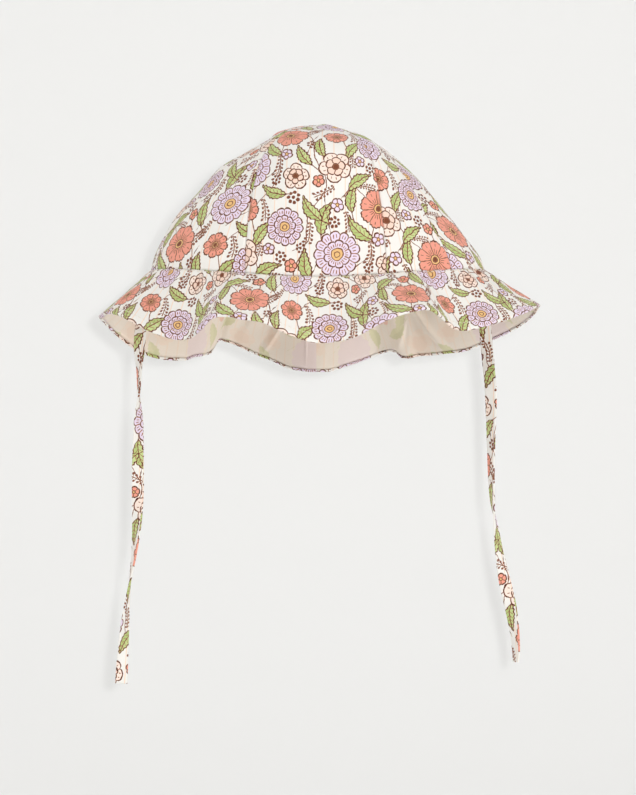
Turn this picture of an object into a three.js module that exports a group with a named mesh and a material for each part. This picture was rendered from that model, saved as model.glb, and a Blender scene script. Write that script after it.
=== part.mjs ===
// An infant's sun hat of printed cotton: a crown of six gores, a wavy gathered brim with a plain
// facing on its under side, and two flat ties. Millimetres, +Z up. The front of the hat faces -Y.
// The origin is the middle of the head opening, level with the seam between crown and brim.
import * as THREE from "three";

// Head opening and crown
const OPENING_HALF_WIDTH = 95;
const OPENING_HALF_DEPTH = 62;
const CROWN_HEIGHT = 87.6;
const CROWN_LEAN = 10; // the point where the gores meet stands this far behind the opening's middle
const CROWN_CLOTH = 1.2;
const PANEL_BOW = 1.6; // how far the middle of a gore stands out past its seams
const BOW_POWER = 2.5; // a higher power keeps the bow even until close to the seams
const POINT_RADIUS = 0.8; // the gores stop this far from the line through the top
const SECTION_BLEND = 3; // how closely the front's and back's profiles keep to the front and back

// Level of the brim seam round the head: it dips in front and behind, and rises over the ears
const SEAM_FRONT_DIP = 6;
const SEAM_BACK_DIP = 5;
const SEAM_SIDE_RISE = 3;

// Brim
const BRIM_WIDTH = 46;
const BRIM_CLOTH = 1.0;
const FACING_CLOTH = 1.0;
const HEM_ROLL = 1.4; // the facing stops this far short of the brim's hem
const GATHER_COUNT = 30;
const GATHER_DEPTH = 0.9;
const GATHER_REACH = 0.6; // share of the brim's width over which the small gathers fade out

// Ties
const TIE_WIDTH = 7;
const TIE_THICKNESS = 1.2;
const TIE_FLAT_SHARE = 0.85; // share of the tie's width that is flat, between its rounded edges

// Neighbouring pieces of cloth stay this far apart
const CLEARANCE = 0.3;

// Mesh fineness
const GORE_ROWS = 12;
const GORE_COLUMNS = [-1, -0.86, -0.6, -0.3, 0, 0.3, 0.6, 0.86, 1];
const BRIM_COLUMNS = 132;
const BRIM_ROWS = [1, 0.72, 0.42, 0.18, 0]; // from the hem, 1, up to the seam, 0
const TIE_STEPS = 44;
const SLOPE_STEP = 0.01; // step, as a share of a surface's length, over which its slope is read
const TOP_SLOPE_AT = 0.97; // the gores' slope is read no nearer to the top than this
const SEAM_SLOPE_AT = 0.1; // the brim's slope is read no nearer to its seam than this

const PRINTED_COTTON = 0xeadfd4;
const PLAIN_COTTON = 0xe4d9cd;
const DEGREES = Math.PI / 180;

// The crown's outline. along: the way from the seam to the top, measured on the cloth. height: share
// of the crown's height. front, back, left and right: the crown's reach that way from the line
// through its top, as a share of the opening's reach that way.
const CROWN_SECTIONS = [
  { along: 0.0, height: 0.0, front: 1.0, back: 1.0, left: 1.0, right: 1.0 },
  { along: 0.065, height: 0.1, front: 1.01, back: 1.08, left: 0.973, right: 0.957 },
  { along: 0.16, height: 0.25, front: 1.02, back: 1.16, left: 0.9, right: 0.862 },
  { along: 0.26, height: 0.4, front: 1.02, back: 1.21, left: 0.817, right: 0.75 },
  { along: 0.355, height: 0.55, front: 1.0, back: 1.2, left: 0.7, right: 0.643 },
  { along: 0.455, height: 0.7, front: 0.94, back: 1.12, left: 0.57, right: 0.52 },
  { along: 0.54, height: 0.8, front: 0.84, back: 0.98, left: 0.42, right: 0.42 },
  { along: 0.645, height: 0.88, front: 0.67, back: 0.78, left: 0.29, right: 0.308 },
  { along: 0.77, height: 0.94, front: 0.45, back: 0.54, left: 0.23, right: 0.155 },
  { along: 0.885, height: 0.98, front: 0.23, back: 0.28, left: 0.115, right: 0.072 },
  { along: 1.0, height: 1.0, front: 0.0, back: 0.0, left: 0.0, right: 0.0 },
];

// The gores, each with the place of the seam at its left edge, in degrees round the top from the
// front, + to the right. A gore ends at the next one's seam.
const GORES = [
  { name: "crown_panel_1", seam: -31.3 },
  { name: "crown_panel_2", seam: 29.5 },
  { name: "crown_panel_3", seam: 57 },
  { name: "crown_panel_4", seam: 112 },
  { name: "crown_panel_5", seam: 204 },
  { name: "crown_panel_6", seam: 272 },
];

// The brim's waves. around: degrees round from the front. flare: how far the cloth stands out from
// hanging straight down. sweep: how far it leans along the seam. width: share of the brim's width.
// gather: strength of the small gathers there.
const BRIM_WAVES = [
  { around: 0, flare: 35, sweep: 0, width: 1, gather: 0.3 },
  { around: 12, flare: 39, sweep: 0, width: 1, gather: 0.3 },
  { around: 22, flare: 54, sweep: 2, width: 1, gather: 0.3 },
  { around: 31, flare: 60, sweep: 3, width: 1, gather: 0.6 },
  { around: 37, flare: 59, sweep: -1, width: 1, gather: 0.8 },
  { around: 42, flare: 52, sweep: -4, width: 1, gather: 0.9 },
  { around: 47, flare: 43, sweep: -6, width: 1, gather: 0.9 },
  { around: 53, flare: 40, sweep: -9, width: 1, gather: 0.9 },
  { around: 61, flare: 45, sweep: -10, width: 1, gather: 0.9 },
  { around: 69, flare: 52, sweep: -12, width: 0.97, gather: 0.8 },
  { around: 77, flare: 57, sweep: -15, width: 0.89, gather: 0.6 },
  { around: 86, flare: 56, sweep: -14, width: 0.81, gather: 0.4 },
  { around: 95, flare: 47, sweep: -4, width: 0.89, gather: 0.4 },
  { around: 103, flare: 36, sweep: 4, width: 0.95, gather: 0.5 },
  { around: 111, flare: 29, sweep: 6, width: 1, gather: 0.8 },
  { around: 120, flare: 27, sweep: 0, width: 1, gather: 0.8 },
  { around: 130, flare: 30, sweep: -3, width: 1, gather: 0.8 },
  { around: 137, flare: 29, sweep: -7, width: 1, gather: 0.9 },
  { around: 142, flare: 40, sweep: -5, width: 1, gather: 0.9 },
  { around: 149, flare: 43, sweep: -8, width: 1, gather: 0.9 },
  { around: 157, flare: 35, sweep: -6, width: 1, gather: 0.5 },
  { around: 168, flare: 22, sweep: -2, width: 1, gather: 0.4 },
  { around: 180, flare: 11, sweep: 0, width: 1, gather: 0.4 },
  { around: 193, flare: 18, sweep: 1, width: 1, gather: 0.4 },
  { around: 204, flare: 33, sweep: 4, width: 1, gather: 0.6 },
  { around: 214, flare: 44, sweep: 4, width: 1, gather: 0.8 },
  { around: 221, flare: 49, sweep: 0, width: 1, gather: 0.9 },
  { around: 226, flare: 50, sweep: -4, width: 1, gather: 0.9 },
  { around: 231, flare: 49, sweep: -8, width: 1, gather: 0.9 },
  { around: 236, flare: 31, sweep: -8, width: 1, gather: 0.9 },
  { around: 243, flare: 18, sweep: -3, width: 1, gather: 0.8 },
  { around: 250, flare: 6, sweep: 4, width: 1, gather: 0.8 },
  { around: 257, flare: 10, sweep: 2, width: 1, gather: 0.7 },
  { around: 264, flare: 26, sweep: -6, width: 0.97, gather: 0.5 },
  { around: 271, flare: 48, sweep: 6, width: 0.88, gather: 0.4 },
  { around: 279, flare: 48, sweep: 14, width: 0.86, gather: 0.4 },
  { around: 287, flare: 52, sweep: 16, width: 0.92, gather: 0.6 },
  { around: 294, flare: 49, sweep: 14, width: 0.97, gather: 1.0 },
  { around: 301, flare: 38, sweep: 12, width: 1, gather: 1.0 },
  { around: 308, flare: 30, sweep: 8, width: 1, gather: 1.0 },
  { around: 313, flare: 32, sweep: 8, width: 1, gather: 1.0 },
  { around: 318, flare: 42, sweep: 7, width: 1, gather: 0.8 },
  { around: 323, flare: 53, sweep: 6, width: 1, gather: 0.6 },
  { around: 329, flare: 55, sweep: 4, width: 1, gather: 0.4 },
  { around: 335, flare: 54, sweep: 0, width: 1, gather: 0.3 },
  { around: 343, flare: 52, sweep: -2, width: 1, gather: 0.3 },
  { around: 352, flare: 40, sweep: 0, width: 1, gather: 0.3 },
];

// The ties' routes, from the brim seam down to the free ends: millimetres, and the twist of the flat
// tie in degrees, 0 with its face to the front.
const LEFT_TIE = [
  [-92.2, 6, -0.6, 80],
  [-93.4, 5, -8, 68],
  [-97.4, 3, -17, 48],
  [-100.4, 1, -27, 26],
  [-101.2, 0, -38, 16],
  [-101.4, -1, -52, 62],
  [-101.5, -1, -66, 82],
  [-101.7, 0, -82, 130],
  [-101.9, 1, -98, 150],
  [-102.0, 1, -114, 178],
  [-102.1, 0, -130, 202],
  [-102.6, -1, -144, 226],
  [-103.9, -2, -158, 246],
  [-106.0, -2, -173, 266],
  [-108.0, -1, -188, 291],
  [-109.3, 0, -202, 312],
  [-110.3, 1, -216, 332],
  [-111.0, 1, -230.5, 350],
];
const RIGHT_TIE = [
  [93.1, 6, -0.6, -80],
  [93.4, 5, -8, -62],
  [93.8, 3, -17, -36],
  [94.8, 1, -27, -12],
  [95.6, 0, -38, 0],
  [96.8, -1, -52, 18],
  [97.9, -1, -66, 20],
  [98.1, 0, -82, 42],
  [98.1, 1, -98, 57],
  [98.2, 1, -114, 66],
  [98.8, 0, -128, 78],
  [100.6, -1, -143, 112],
  [102.6, -2, -158, 134],
  [105.4, -2, -173, 170],
  [108.8, -1, -188, 200],
  [111.0, 0, -202, 228],
  [111.8, 1, -212, 240],
  [111.7, 1, -218.5, 248],
];

// One column of a table at any place, on a smooth curve through the rows. With a period the rows
// close on themselves.
function column(rows, key, name, place, period = 0) {
  const count = rows.length;
  const at = period ? ((place % period) + period) % period : place;
  let low = 0;
  while (low < count - (period ? 1 : 2) && rows[low + 1]?.[key] <= at) low += 1;
  const row = (index) => {
    if (!period) return rows[THREE.MathUtils.clamp(index, 0, count - 1)];
    return rows[(index + count) % count];
  };
  const spot = (index) => {
    if (!period) return row(index)[key];
    return row(index)[key] + period * Math.floor(index / count);
  };
  const slope = (index) => {
    const before = period ? index - 1 : Math.max(index - 1, 0);
    const after = period ? index + 1 : Math.min(index + 1, count - 1);
    return (row(after)[name] - row(before)[name]) / (spot(after) - spot(before));
  };
  const span = spot(low + 1) - spot(low);
  const t = (at - spot(low)) / span;
  const from = row(low)[name];
  const to = row(low + 1)[name];
  return (
    from * (1 + 2 * t) * (1 - t) ** 2 +
    slope(low) * span * t * (1 - t) ** 2 +
    to * t * t * (3 - 2 * t) +
    slope(low + 1) * span * t * t * (t - 1)
  );
}

// The unit vector that points outward from the line through the top, at an angle round from the front
function heading(around) {
  return new THREE.Vector3(Math.sin(around * DEGREES), -Math.cos(around * DEGREES), 0);
}

// How far the opening's edge is from the line through the top, at an angle round from the front
function openingReach(around) {
  const way = heading(around);
  const a = (way.x / OPENING_HALF_WIDTH) ** 2 + (way.y / OPENING_HALF_DEPTH) ** 2;
  const b = (way.y * CROWN_LEAN) / OPENING_HALF_DEPTH ** 2;
  const c = (CROWN_LEAN / OPENING_HALF_DEPTH) ** 2 - 1;
  return (-b + Math.sqrt(b * b - a * c)) / a;
}

// The level of the brim seam at an angle round from the front
function seamLevel(around) {
  const ends = (-SEAM_FRONT_DIP - SEAM_BACK_DIP) / 2;
  const twist = (SEAM_BACK_DIP - SEAM_FRONT_DIP) / 2;
  const turn = Math.cos(around * DEGREES);
  return ends * turn * turn + SEAM_SIDE_RISE * (1 - turn * turn) + twist * turn;
}

function seamPoint(around) {
  const point = heading(around).multiplyScalar(openingReach(around));
  return point.add(new THREE.Vector3(0, CROWN_LEAN, seamLevel(around)));
}

// A point of the crown's outer face. across runs from -1 to 1 between a gore's two seams.
function crownPoint(around, along, across) {
  const turn = Math.cos(around * DEGREES);
  const ends = column(CROWN_SECTIONS, "along", turn > 0 ? "front" : "back", along);
  const side = Math.sin(around * DEGREES) > 0 ? "right" : "left";
  const sides = column(CROWN_SECTIONS, "along", side, along);
  const lengthwise = Math.abs(turn) ** SECTION_BLEND;
  const share = ends * lengthwise + sides * (1 - lengthwise);
  const bow = PANEL_BOW * (1 - Math.abs(across) ** BOW_POWER) * Math.sin(Math.PI * along);
  const reach = Math.max(openingReach(around) * share + bow, POINT_RADIUS);
  const level = seamLevel(around);
  const height = column(CROWN_SECTIONS, "along", "height", along);
  const point = heading(around).multiplyScalar(reach);
  return point.add(new THREE.Vector3(0, CROWN_LEAN, level + (CROWN_HEIGHT - level) * height));
}

// A point of the brim's outer face. down runs from 0 at the seam to 1 at the hem.
function brimPoint(around, down) {
  const wave = (name) => column(BRIM_WAVES, "around", name, around, 360);
  const seam = seamPoint(around);
  const outward = new THREE.Vector3(
    seam.x / OPENING_HALF_WIDTH ** 2,
    seam.y / OPENING_HALF_DEPTH ** 2,
    0,
  ).normalize();
  outward.applyAxisAngle(new THREE.Vector3(0, 0, 1), wave("sweep") * DEGREES);
  const flare = wave("flare") * DEGREES;
  const length = BRIM_WIDTH * wave("width");
  const lift = Math.sin(Math.PI * Math.min(down / GATHER_REACH, 1));
  const ripple = Math.sin(around * DEGREES * GATHER_COUNT) * GATHER_DEPTH * wave("gather") * lift;
  const out = length * Math.sin(flare) * down + ripple * Math.cos(flare);
  const drop = length * Math.cos(flare) * down - ripple * Math.sin(flare);
  return seam.add(outward.multiplyScalar(out)).add(new THREE.Vector3(0, 0, -drop));
}

// The outward normal of a surface given by two numbers, the first running round and the second up
function normalOf(surface, first, second, firstStep) {
  const round = surface(first + firstStep, second).sub(surface(first - firstStep, second));
  const up = surface(first, second + SLOPE_STEP).sub(surface(first, second - SLOPE_STEP));
  return round.cross(up).normalize();
}

// A closed wall between two grids of points. Rows run upward, and columns run round to the right.
function wallGeometry(outer, inner, closesRound) {
  const rows = outer.length;
  const columns = outer[0].length;
  const positions = [...outer.flat(), ...inner.flat()].flatMap((point) => point.toArray());
  const at = (layer, row, step) => layer * rows * columns + row * columns + (step % columns);
  const indices = [];
  const quad = (a, b, c, d) => indices.push(a, b, c, a, c, d);
  const spans = closesRound ? columns : columns - 1;
  for (let step = 0; step < spans; step += 1) {
    for (let row = 0; row < rows - 1; row += 1) {
      quad(at(0, row, step), at(0, row, step + 1), at(0, row + 1, step + 1), at(0, row + 1, step));
      quad(at(1, row, step), at(1, row + 1, step), at(1, row + 1, step + 1), at(1, row, step + 1));
    }
    quad(at(0, 0, step), at(1, 0, step), at(1, 0, step + 1), at(0, 0, step + 1));
    const top = rows - 1;
    quad(at(0, top, step), at(0, top, step + 1), at(1, top, step + 1), at(1, top, step));
  }
  if (!closesRound) {
    const last = columns - 1;
    for (let row = 0; row < rows - 1; row += 1) {
      quad(at(0, row, 0), at(0, row + 1, 0), at(1, row + 1, 0), at(1, row, 0));
      quad(at(0, row, last), at(1, row, last), at(1, row + 1, last), at(0, row + 1, last));
    }
  }
  const geometry = new THREE.BufferGeometry();
  geometry.setAttribute("position", new THREE.Float32BufferAttribute(positions, 3));
  geometry.setIndex(indices);
  geometry.computeVertexNormals();
  return geometry;
}

function namedMesh(name, geometry, color) {
  const material = new THREE.MeshStandardMaterial({ color, roughness: 0.9, metalness: 0 });
  const mesh = new THREE.Mesh(geometry, material);
  mesh.name = name;
  return mesh;
}

// One gore of the crown, a wall of cloth between its own seam, the next gore's seam and the top
function crownPanel({ name, seam }, nextSeam) {
  const outer = [];
  const inner = [];
  const middle = (seam + nextSeam) / 2;
  const half = (nextSeam - seam) / 2;
  const surface = (across, along) => crownPoint(middle + half * across, along, across);
  for (let row = 0; row <= GORE_ROWS; row += 1) {
    const along = row / GORE_ROWS;
    const faces = GORE_COLUMNS.map((across) => {
      const reach = surface(across, along).sub(new THREE.Vector3(0, CROWN_LEAN, 0));
      const halfArc = Math.hypot(reach.x, reach.y) * half * DEGREES;
      const kept = across * (1 - CLEARANCE / 2 / halfArc);
      const near = THREE.MathUtils.clamp(along, SLOPE_STEP, TOP_SLOPE_AT);
      const normal = normalOf(surface, kept, near, SLOPE_STEP);
      const point = surface(kept, along);
      return [point, point.clone().addScaledVector(normal, -CROWN_CLOTH)];
    });
    outer.push(faces.map((pair) => pair[0]));
    inner.push(faces.map((pair) => pair[1]));
  }
  return namedMesh(name, wallGeometry(outer, inner, false), PRINTED_COTTON);
}

// A ring of cloth that follows the brim, between two depths below its outer face
function brimRing(name, topDepth, underDepth, hemShare, color) {
  const surface = (around, up) => brimPoint(around, 1 - up);
  const startShare = CLEARANCE / BRIM_WIDTH;
  const outer = [];
  const inner = [];
  for (const share of BRIM_ROWS) {
    const down = startShare + (hemShare - startShare) * share;
    const top = [];
    const under = [];
    for (let step = 0; step < BRIM_COLUMNS; step += 1) {
      const around = (360 * step) / BRIM_COLUMNS;
      const point = surface(around, 1 - down);
      const normal = normalOf(surface, around, 1 - Math.max(down, SEAM_SLOPE_AT), 180 / BRIM_COLUMNS);
      top.push(point.clone().addScaledVector(normal, -topDepth));
      under.push(point.clone().addScaledVector(normal, -underDepth));
    }
    outer.push(top);
    inner.push(under);
  }
  return namedMesh(name, wallGeometry(outer, inner, true), color);
}

// A flat tie with softly rounded edges, lofted along its route as it twists
function tieGeometry(route) {
  const line = new THREE.CatmullRomCurve3(route.map(([x, y, z]) => new THREE.Vector3(x, y, z)));
  const twists = route.map((row, index) => ({ index, twist: row[3] }));
  const w = TIE_WIDTH / 2;
  const t = TIE_THICKNESS / 2;
  const flat = w * TIE_FLAT_SHARE;
  const section = [
    [w, 0], [flat, t], [0, t], [-flat, t],
    [-w, 0], [-flat, -t], [0, -t], [flat, -t],
  ];
  const positions = [];
  const indices = [];
  const sides = section.length;
  for (let step = 0; step <= TIE_STEPS; step += 1) {
    const share = step / TIE_STEPS;
    const centre = line.getPoint(share);
    const along = line.getTangent(share);
    const twist = column(twists, "index", "twist", share * (route.length - 1)) * DEGREES;
    const front = new THREE.Vector3(0, -1, 0).projectOnPlane(along).normalize();
    const across = new THREE.Vector3().crossVectors(along, front).applyAxisAngle(along, twist);
    const face = front.clone().applyAxisAngle(along, twist);
    for (const [u, v] of section) {
      const corner = centre.clone().addScaledVector(across, u).addScaledVector(face, v);
      positions.push(...corner.toArray());
    }
  }
  for (let step = 0; step < TIE_STEPS; step += 1) {
    for (let side = 0; side < sides; side += 1) {
      const a = step * sides + side;
      const b = step * sides + ((side + 1) % sides);
      indices.push(a, a + sides, b, b, a + sides, b + sides);
    }
  }
  const end = TIE_STEPS * sides;
  for (let side = 1; side < sides - 1; side += 1) {
    indices.push(0, side, side + 1);
    indices.push(end, end + side + 1, end + side);
  }
  const geometry = new THREE.BufferGeometry();
  geometry.setAttribute("position", new THREE.Float32BufferAttribute(positions, 3));
  geometry.setIndex(indices);
  geometry.computeVertexNormals();
  return geometry;
}

function crown() {
  const group = new THREE.Group();
  GORES.forEach((gore, index) => {
    const next = GORES[index + 1]?.seam ?? GORES[0].seam + 360;
    group.add(crownPanel(gore, next));
  });
  return group;
}

function brim() {
  const group = new THREE.Group();
  const facingTop = BRIM_CLOTH + CLEARANCE;
  const facingHem = 1 - HEM_ROLL / BRIM_WIDTH;
  group.add(brimRing("brim", 0, BRIM_CLOTH, 1, PRINTED_COTTON));
  group.add(brimRing("brim_facing", facingTop, facingTop + FACING_CLOTH, facingHem, PLAIN_COTTON));
  return group;
}

function ties() {
  const group = new THREE.Group();
  group.add(namedMesh("tie_left", tieGeometry(LEFT_TIE), PRINTED_COTTON));
  group.add(namedMesh("tie_right", tieGeometry(RIGHT_TIE), PRINTED_COTTON));
  return group;
}

const hat = new THREE.Group();
hat.add(crown(), brim(), ties());

export default hat;
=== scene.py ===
"""Dresses an infant's sun hat: six printed gores, a gathered brim with its facing, and two ties.

The front of the hat faces -Y, +Z is up, and the origin is the middle of the head opening. Sizes are
millimetres, as a maker of hats gives them, and become metres where a mesh is made.
"""
import logging
import math
from dataclasses import dataclass, field
from enum import Enum
from typing import Iterable, NamedTuple, Optional, Sequence, Union

import bpy
import numpy as np
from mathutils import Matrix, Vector


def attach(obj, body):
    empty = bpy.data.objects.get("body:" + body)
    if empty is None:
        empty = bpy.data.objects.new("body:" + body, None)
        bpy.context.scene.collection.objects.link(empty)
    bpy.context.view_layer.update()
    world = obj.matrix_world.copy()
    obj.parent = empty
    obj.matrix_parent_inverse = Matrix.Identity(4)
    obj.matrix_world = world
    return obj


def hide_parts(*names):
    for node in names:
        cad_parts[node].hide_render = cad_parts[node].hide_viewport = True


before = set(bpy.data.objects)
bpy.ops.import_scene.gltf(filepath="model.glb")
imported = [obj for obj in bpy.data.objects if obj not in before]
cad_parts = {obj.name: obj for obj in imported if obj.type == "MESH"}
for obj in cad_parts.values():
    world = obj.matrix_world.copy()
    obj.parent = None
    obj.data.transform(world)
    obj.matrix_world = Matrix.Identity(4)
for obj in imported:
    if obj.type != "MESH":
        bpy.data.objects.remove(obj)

log = logging.getLogger("sun_hat")

MM = 0.001
CLOTH_MAP = "cloth"


class CrownSection(NamedTuple):
    """A level of the crown, in shares: its place on the cloth, height and reach four ways."""

    along: float
    height: float
    front: float
    back: float
    left: float
    right: float


class BrimWave(NamedTuple):
    """A place round the brim: degrees out from hanging and along the seam, width and gathers."""

    around: float
    flare: float
    sweep: float
    width: float
    gather: float


class TiePoint(NamedTuple):
    """A point of a tie's route in metres, and the twist of the flat tie there in degrees."""

    x: float
    y: float
    z: float
    twist: float


class Gore(NamedTuple):
    """A gore of the crown: its CAD node, the degrees of its left seam, and its cut."""

    node: str
    seam: float
    cut_x: float
    cut_y: float


class Ripple(NamedTuple):
    """A low wave in cloth: its turns along two directions, its start, and its height."""

    across: float
    along: float
    start: float
    height: float


class Crease(NamedTuple):
    """A crease across the facing: degrees round at the seam and at the hem, and its size in mm."""

    seam_around: float
    hem_around: float
    width: float
    height: float


CROWN_SECTIONS = (
    CrownSection(0.0, 0.0, 1.0, 1.0, 1.0, 1.0),
    CrownSection(0.065, 0.1, 1.01, 1.08, 0.973, 0.957),
    CrownSection(0.16, 0.25, 1.02, 1.16, 0.9, 0.862),
    CrownSection(0.26, 0.4, 1.02, 1.21, 0.817, 0.75),
    CrownSection(0.355, 0.55, 1.0, 1.2, 0.7, 0.643),
    CrownSection(0.455, 0.7, 0.94, 1.12, 0.57, 0.52),
    CrownSection(0.54, 0.8, 0.84, 0.98, 0.42, 0.42),
    CrownSection(0.645, 0.88, 0.67, 0.78, 0.29, 0.308),
    CrownSection(0.77, 0.94, 0.45, 0.54, 0.23, 0.155),
    CrownSection(0.885, 0.98, 0.23, 0.28, 0.115, 0.072),
    CrownSection(1.0, 1.0, 0.0, 0.0, 0.0, 0.0),
)

BRIM_WAVES = (
    BrimWave(0, 35, 0, 1, 0.3),
    BrimWave(12, 39, 0, 1, 0.3),
    BrimWave(22, 54, 2, 1, 0.3),
    BrimWave(31, 60, 3, 1, 0.6),
    BrimWave(37, 59, -1, 1, 0.8),
    BrimWave(42, 52, -4, 1, 0.9),
    BrimWave(47, 43, -6, 1, 0.9),
    BrimWave(53, 40, -9, 1, 0.9),
    BrimWave(61, 47, -10, 1, 0.9),
    BrimWave(69, 54, -12, 0.97, 0.8),
    BrimWave(77, 58, -15, 0.89, 0.6),
    BrimWave(86, 56, -14, 0.81, 0.4),
    BrimWave(95, 47, -4, 0.89, 0.4),
    BrimWave(103, 36, 4, 0.95, 0.5),
    BrimWave(111, 29, 6, 1, 0.8),
    BrimWave(120, 27, 0, 1, 0.8),
    BrimWave(130, 30, -3, 1, 0.8),
    BrimWave(137, 29, -7, 1, 0.9),
    BrimWave(142, 40, -5, 1, 0.9),
    BrimWave(149, 43, -8, 1, 0.9),
    BrimWave(157, 35, -6, 1, 0.5),
    BrimWave(168, 22, -2, 1, 0.4),
    BrimWave(180, 11, 0, 1, 0.4),
    BrimWave(193, 18, 1, 1, 0.4),
    BrimWave(204, 33, 4, 1, 0.6),
    BrimWave(214, 44, 4, 1, 0.8),
    BrimWave(221, 49, 0, 1, 0.9),
    BrimWave(226, 50, -4, 1, 0.9),
    BrimWave(231, 49, -8, 1, 0.9),
    BrimWave(236, 31, -8, 1, 0.9),
    BrimWave(243, 18, -3, 1, 0.8),
    BrimWave(250, 6, 4, 1.04, 0.8),
    BrimWave(257, 10, 2, 1.05, 0.7),
    BrimWave(264, 26, -6, 1.01, 0.5),
    BrimWave(271, 48, 6, 0.88, 0.4),
    BrimWave(279, 48, 14, 0.86, 0.4),
    BrimWave(287, 52, 16, 0.92, 0.6),
    BrimWave(294, 49, 14, 0.97, 1.0),
    BrimWave(301, 38, 12, 1, 1.0),
    BrimWave(308, 30, 8, 1, 1.0),
    BrimWave(313, 32, 8, 1, 1.0),
    BrimWave(318, 42, 7, 1, 0.8),
    BrimWave(323, 53, 6, 1, 0.6),
    BrimWave(329, 55, 4, 1, 0.4),
    BrimWave(335, 54, 0, 1, 0.3),
    BrimWave(343, 52, -2, 1, 0.3),
    BrimWave(352, 40, 0, 1, 0.3),
)

GORES = (
    Gore("crown_panel_1", -31.3, 0.0, 0.0),
    Gore("crown_panel_2", 29.5, 27.0, 31.0),
    Gore("crown_panel_3", 57.0, 61.0, 12.0),
    Gore("crown_panel_4", 112.0, 14.0, 47.0),
    Gore("crown_panel_5", 204.0, 75.0, 66.0),
    Gore("crown_panel_6", 272.0, 39.0, 22.0),
)

LEFT_TIE = (
    TiePoint(-0.09220, 0.00600, -0.00060, 80),
    TiePoint(-0.09340, 0.00500, -0.00800, 68),
    TiePoint(-0.09740, 0.00300, -0.01700, 48),
    TiePoint(-0.10040, 0.00100, -0.02700, 26),
    TiePoint(-0.10120, 0.00000, -0.03800, 16),
    TiePoint(-0.10140, -0.00100, -0.05200, 62),
    TiePoint(-0.10150, -0.00100, -0.06600, 82),
    TiePoint(-0.10170, 0.00000, -0.08200, 130),
    TiePoint(-0.10190, 0.00100, -0.09800, 150),
    TiePoint(-0.10200, 0.00100, -0.11400, 178),
    TiePoint(-0.10210, 0.00000, -0.13000, 202),
    TiePoint(-0.10260, -0.00100, -0.14400, 226),
    TiePoint(-0.10390, -0.00200, -0.15800, 246),
    TiePoint(-0.10600, -0.00200, -0.17300, 266),
    TiePoint(-0.10800, -0.00100, -0.18800, 291),
    TiePoint(-0.10930, 0.00000, -0.20200, 312),
    TiePoint(-0.11030, 0.00100, -0.21600, 332),
    TiePoint(-0.11100, 0.00100, -0.23050, 350),
)

RIGHT_TIE = (
    TiePoint(0.09310, 0.00600, -0.00060, -80),
    TiePoint(0.09340, 0.00500, -0.00800, -62),
    TiePoint(0.09380, 0.00300, -0.01700, -36),
    TiePoint(0.09480, 0.00100, -0.02700, -12),
    TiePoint(0.09560, 0.00000, -0.03800, 0),
    TiePoint(0.09680, -0.00100, -0.05200, 18),
    TiePoint(0.09790, -0.00100, -0.06600, 20),
    TiePoint(0.09810, 0.00000, -0.08200, 42),
    TiePoint(0.09810, 0.00100, -0.09800, 57),
    TiePoint(0.09820, 0.00100, -0.11400, 66),
    TiePoint(0.09880, 0.00000, -0.12800, 78),
    TiePoint(0.10060, -0.00100, -0.14300, 112),
    TiePoint(0.10260, -0.00200, -0.15800, 134),
    TiePoint(0.10540, -0.00200, -0.17300, 170),
    TiePoint(0.10880, -0.00100, -0.18800, 200),
    TiePoint(0.11100, 0.00000, -0.20200, 228),
    TiePoint(0.11180, 0.00100, -0.21200, 240),
    TiePoint(0.11170, 0.00100, -0.21850, 248),
)

FACING_CREASES = (
    Crease(131.5, 115.5, 1.7, 2.8),
    Crease(135.5, 120.0, 2.6, -2.0),
    Crease(125.4, 140.4, 1.0, 1.1),
    Crease(128.5, 137.0, 1.6, -0.9),
    Crease(150.0, 156.0, 3.0, 0.7),
    Crease(164.0, 160.0, 2.4, -0.8),
    Crease(174.0, 177.0, 2.6, 0.6),
    Crease(186.0, 186.8, 0.8, 0.9),
    Crease(194.7, 208.5, 1.2, 1.4),
    Crease(198.5, 211.0, 2.0, -1.0),
    Crease(212.0, 219.0, 2.6, 0.7),
    Crease(226.0, 231.0, 3.4, -1.5),
    Crease(232.0, 238.0, 2.4, 0.9),
    Crease(252.0, 249.0, 2.8, -0.9),
    Crease(262.0, 267.0, 2.4, 0.8),
    Crease(86.0, 91.0, 2.4, 0.8),
    Crease(102.0, 98.0, 2.6, -0.8),
    Crease(110.0, 106.0, 2.2, 0.7),
)

# Soft unevenness of the cloth: turns per millimetre across and along, start, and height
CROWN_RIPPLES = (
    Ripple(0.021, 0.006, 0.4, 0.34),
    Ripple(0.034, -0.011, 2.1, 0.2),
    Ripple(0.012, 0.019, 4.4, 0.24),
    Ripple(0.058, 0.013, 1.2, 0.1),
    Ripple(-0.047, 0.029, 5.2, 0.08),
)

# Waves round the hat: turns, start and height, for the uneven hem and for the tucks' spacing
HEM_WOBBLE = ((17, 0.7, 1.0), (29, 2.2, 0.6))
TUCK_WOBBLE = ((5, 0.4, 2.0), (11, 0.0, 1.3), (23, 1.0, 0.9))


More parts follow.
